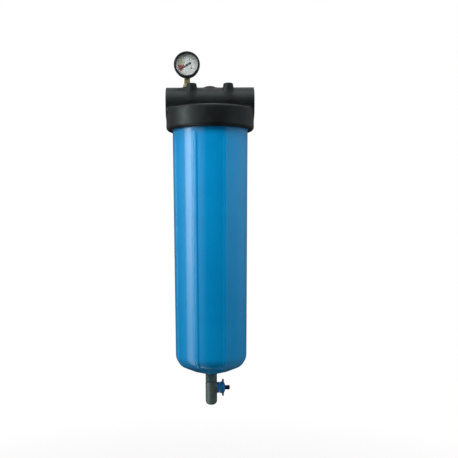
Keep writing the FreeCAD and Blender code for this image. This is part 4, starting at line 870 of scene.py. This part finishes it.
def make_world():
    """White for the camera, gloss and glass, and a dim light on everything else."""
    world = bpy.data.worlds.new("studio")
    bpy.context.scene.world = world
    world.use_nodes = True
    tree = world.node_tree
    tree.nodes.clear()
    white = add(tree, "ShaderNodeBackground", {"Color": (1, 1, 1, 1), "Strength": 1.0})
    light = add(tree, "ShaderNodeBackground", {"Color": linear("eef2f6"), "Strength": 0.15})
    both = add(tree, "ShaderNodeMixShader", {0: (seen_by_eye(tree), 0), 1: (light, 0), 2: (white, 0)})
    add(tree, "ShaderNodeOutputWorld", {"Surface": (both, 0)})


def floor_paper():
    """Pale paper that keeps the object's shadow and fades to white between 1.05 and 1.5 m away."""
    material, tree, place = empty_material("pale_paper")
    away = add(tree, "ShaderNodeVectorMath", {0: place}, operation="LENGTH")
    fade = add(tree, "ShaderNodeMapRange", {
        "Value": (away, "Value"), "From Min": 1.05, "From Max": 1.5, "To Min": 0.89, "To Max": 1.0})
    share = add(tree, "ShaderNodeMath", {0: (seen_by_eye(tree), 0), 1: (fade, 0)}, operation="MULTIPLY")
    paint = add(tree, "ShaderNodeBsdfDiffuse", {"Color": linear("9c9c9a")})
    white = add(tree, "ShaderNodeEmission", {"Color": (1, 1, 1, 1), "Strength": 1.0})
    both = add(tree, "ShaderNodeMixShader", {0: (share, 0), 1: (paint, 0), 2: (white, 0)})
    add(tree, "ShaderNodeOutputMaterial", {"Surface": (both, 0)})
    return material


def wall_glow():
    """The wall's light: its brightness at a bearing, dimmed towards the floor and above the head,
    and a soft glow added that grows upwards."""
    material, tree, place = empty_material("studio_wall")
    material.cycles.emission_sampling = "NONE"
    peak = max(bright for _, bright in WALL)
    parts = add(tree, "ShaderNodeSeparateXYZ", {0: place})
    front = add(tree, "ShaderNodeMath", {0: (parts, 1), 1: -1.0}, operation="MULTIPLY")
    bearing = add(tree, "ShaderNodeMath", {0: (parts, 0), 1: (front, 0)}, operation="ARCTAN2")
    share = add(tree, "ShaderNodeMapRange", {
        "Value": (bearing, 0), "From Min": -math.pi, "From Max": math.pi})
    ramp = add(tree, "ShaderNodeValToRGB", {"Fac": (share, 0)})
    stops = ramp.color_ramp.elements
    while len(stops) < len(WALL):
        stops.new(0.5)
    for stop, (degrees, bright) in zip(stops, WALL):
        stop.position = (degrees + 180) / 360
        stop.color = (bright / peak, bright / peak, bright / peak, 1)
    low = add(tree, "ShaderNodeMapRange", {
        "Value": (parts, 2), "From Min": -1.0, "From Max": -0.1, "To Min": 0.36 * peak, "To Max": peak})
    sides = add(tree, "ShaderNodeMath", {0: (ramp, 0), 1: (low, 0)}, operation="MULTIPLY")
    ends = add(tree, "ShaderNodeMapRange", {
        "Value": (parts, 2), "From Min": 0.15, "From Max": 0.6, "To Min": 1.0, "To Max": 0.4})
    sides = add(tree, "ShaderNodeMath", {0: (sides, 0), 1: (ends, 0)}, operation="MULTIPLY")
    high = add(tree, "ShaderNodeMapRange", {
        "Value": (parts, 2), "From Min": 0.4, "From Max": 2.0, "To Min": 0.0, "To Max": 0.6})
    total = add(tree, "ShaderNodeMath", {0: (sides, 0), 1: (high, 0)}, operation="ADD")
    light = add(tree, "ShaderNodeEmission", {"Color": (1, 1, 1, 1), "Strength": (total, 0)})
    add(tree, "ShaderNodeOutputMaterial", {"Surface": (light, 0)})
    return material


def backdrop(name, points, faces, material):
    """A piece of the stage from its points and faces."""
    mesh = bpy.data.meshes.new(name)
    mesh.from_pydata(points.tolist(), [], faces)
    mesh.materials.append(material)
    item = placed(name, mesh)
    return item


def make_backdrop():
    """A round floor, and a round wall on a disc of its own that only gloss sees."""
    floor, floor_radius, wall_foot, wall_radius, wall_top = -0.98, 4, -0.972, 3.0, 2.8
    angle = circle(64)
    rim = np.stack([floor_radius * np.cos(angle), floor_radius * np.sin(angle), np.full(64, floor)], -1)
    backdrop("floor", rim, [list(range(64))], floor_paper())
    bearing = np.radians(np.linspace(-180, 180, 97))
    corners = ((0.02, wall_foot), (wall_radius, wall_foot), (wall_radius, wall_top))
    wall = np.concatenate([np.stack([r * np.sin(bearing), -r * np.cos(bearing), np.full(97, z)], -1)
                           for r, z in corners])
    wall = backdrop("wall", wall, quads(3, 97, False, False).tolist(), wall_glow())
    for kind in ("camera", "diffuse", "transmission", "shadow"):
        setattr(wall, "visible_" + kind, False)


def make_lamps():
    """Soft boxes on the left, in front, on the right, behind and overhead."""
    for name, bearing, distance, height, width, tall, strength, tilt in SOFT_BOXES:
        lamp = bpy.data.lights.new(name, "AREA")
        lamp.shape, lamp.size, lamp.size_y = "RECTANGLE", width, tall
        lamp.energy = strength * math.pi * width * tall
        item = placed(name, lamp)
        a = math.radians(bearing)
        item.location = (distance * math.sin(a), -distance * math.cos(a), height)
        item.rotation_euler = (math.radians(tilt), 0, a)
        item.visible_camera = False
        item.visible_glossy = name == "overhead"


def make_camera():
    """A camera level with the sump's upper half, its lens shifted so that the object stands where
    it does in the photo."""
    distance, height, view_width, sensor = 1.60, -0.300, 0.9632, 36.0
    camera = bpy.data.cameras.new("camera")
    camera.sensor_width = sensor
    camera.lens = sensor * distance / view_width
    camera.shift_x, camera.shift_y = 0.0402, -0.0033
    eye = placed("camera", camera)
    eye.location = (0, -distance, height)
    eye.rotation_euler = (math.radians(90), math.radians(0.27), 0)
    bpy.context.scene.camera = eye
    bpy.context.scene.view_settings.view_transform = "Standard"


# The nodes that keep their CAD shape, and the finish of each
NODE_FINISH = {
    "spigot_seal": RUBBER, "sump_seal": RUBBER, "lens_gasket": RUBBER, "drain_pad": RUBBER,
    "drain_stem_seal": RUBBER, "vent_washer": RUBBER, "basket": NATURAL_PP, "bag_ring": RING_PP,
    "vent_clip": STEEL, "gauge_dial": WHITE_ENAMEL, "gauge_lens": WINDOW,
    "gauge_movement": BRASS, "pointer_spindle": BRASS, "gauge_sector": BRASS, "pressure_tube": BRASS,
}

make_world()
make_backdrop()
make_lamps()
make_camera()
make_head()
make_inserts()
make_button()
make_spring()
make_sump()
make_bag()
make_gauge()
make_dial()
make_drain()
for node, material in NODE_FINISH.items():
    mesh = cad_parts[node].data
    mesh.materials.clear()
    mesh.materials.append(material)
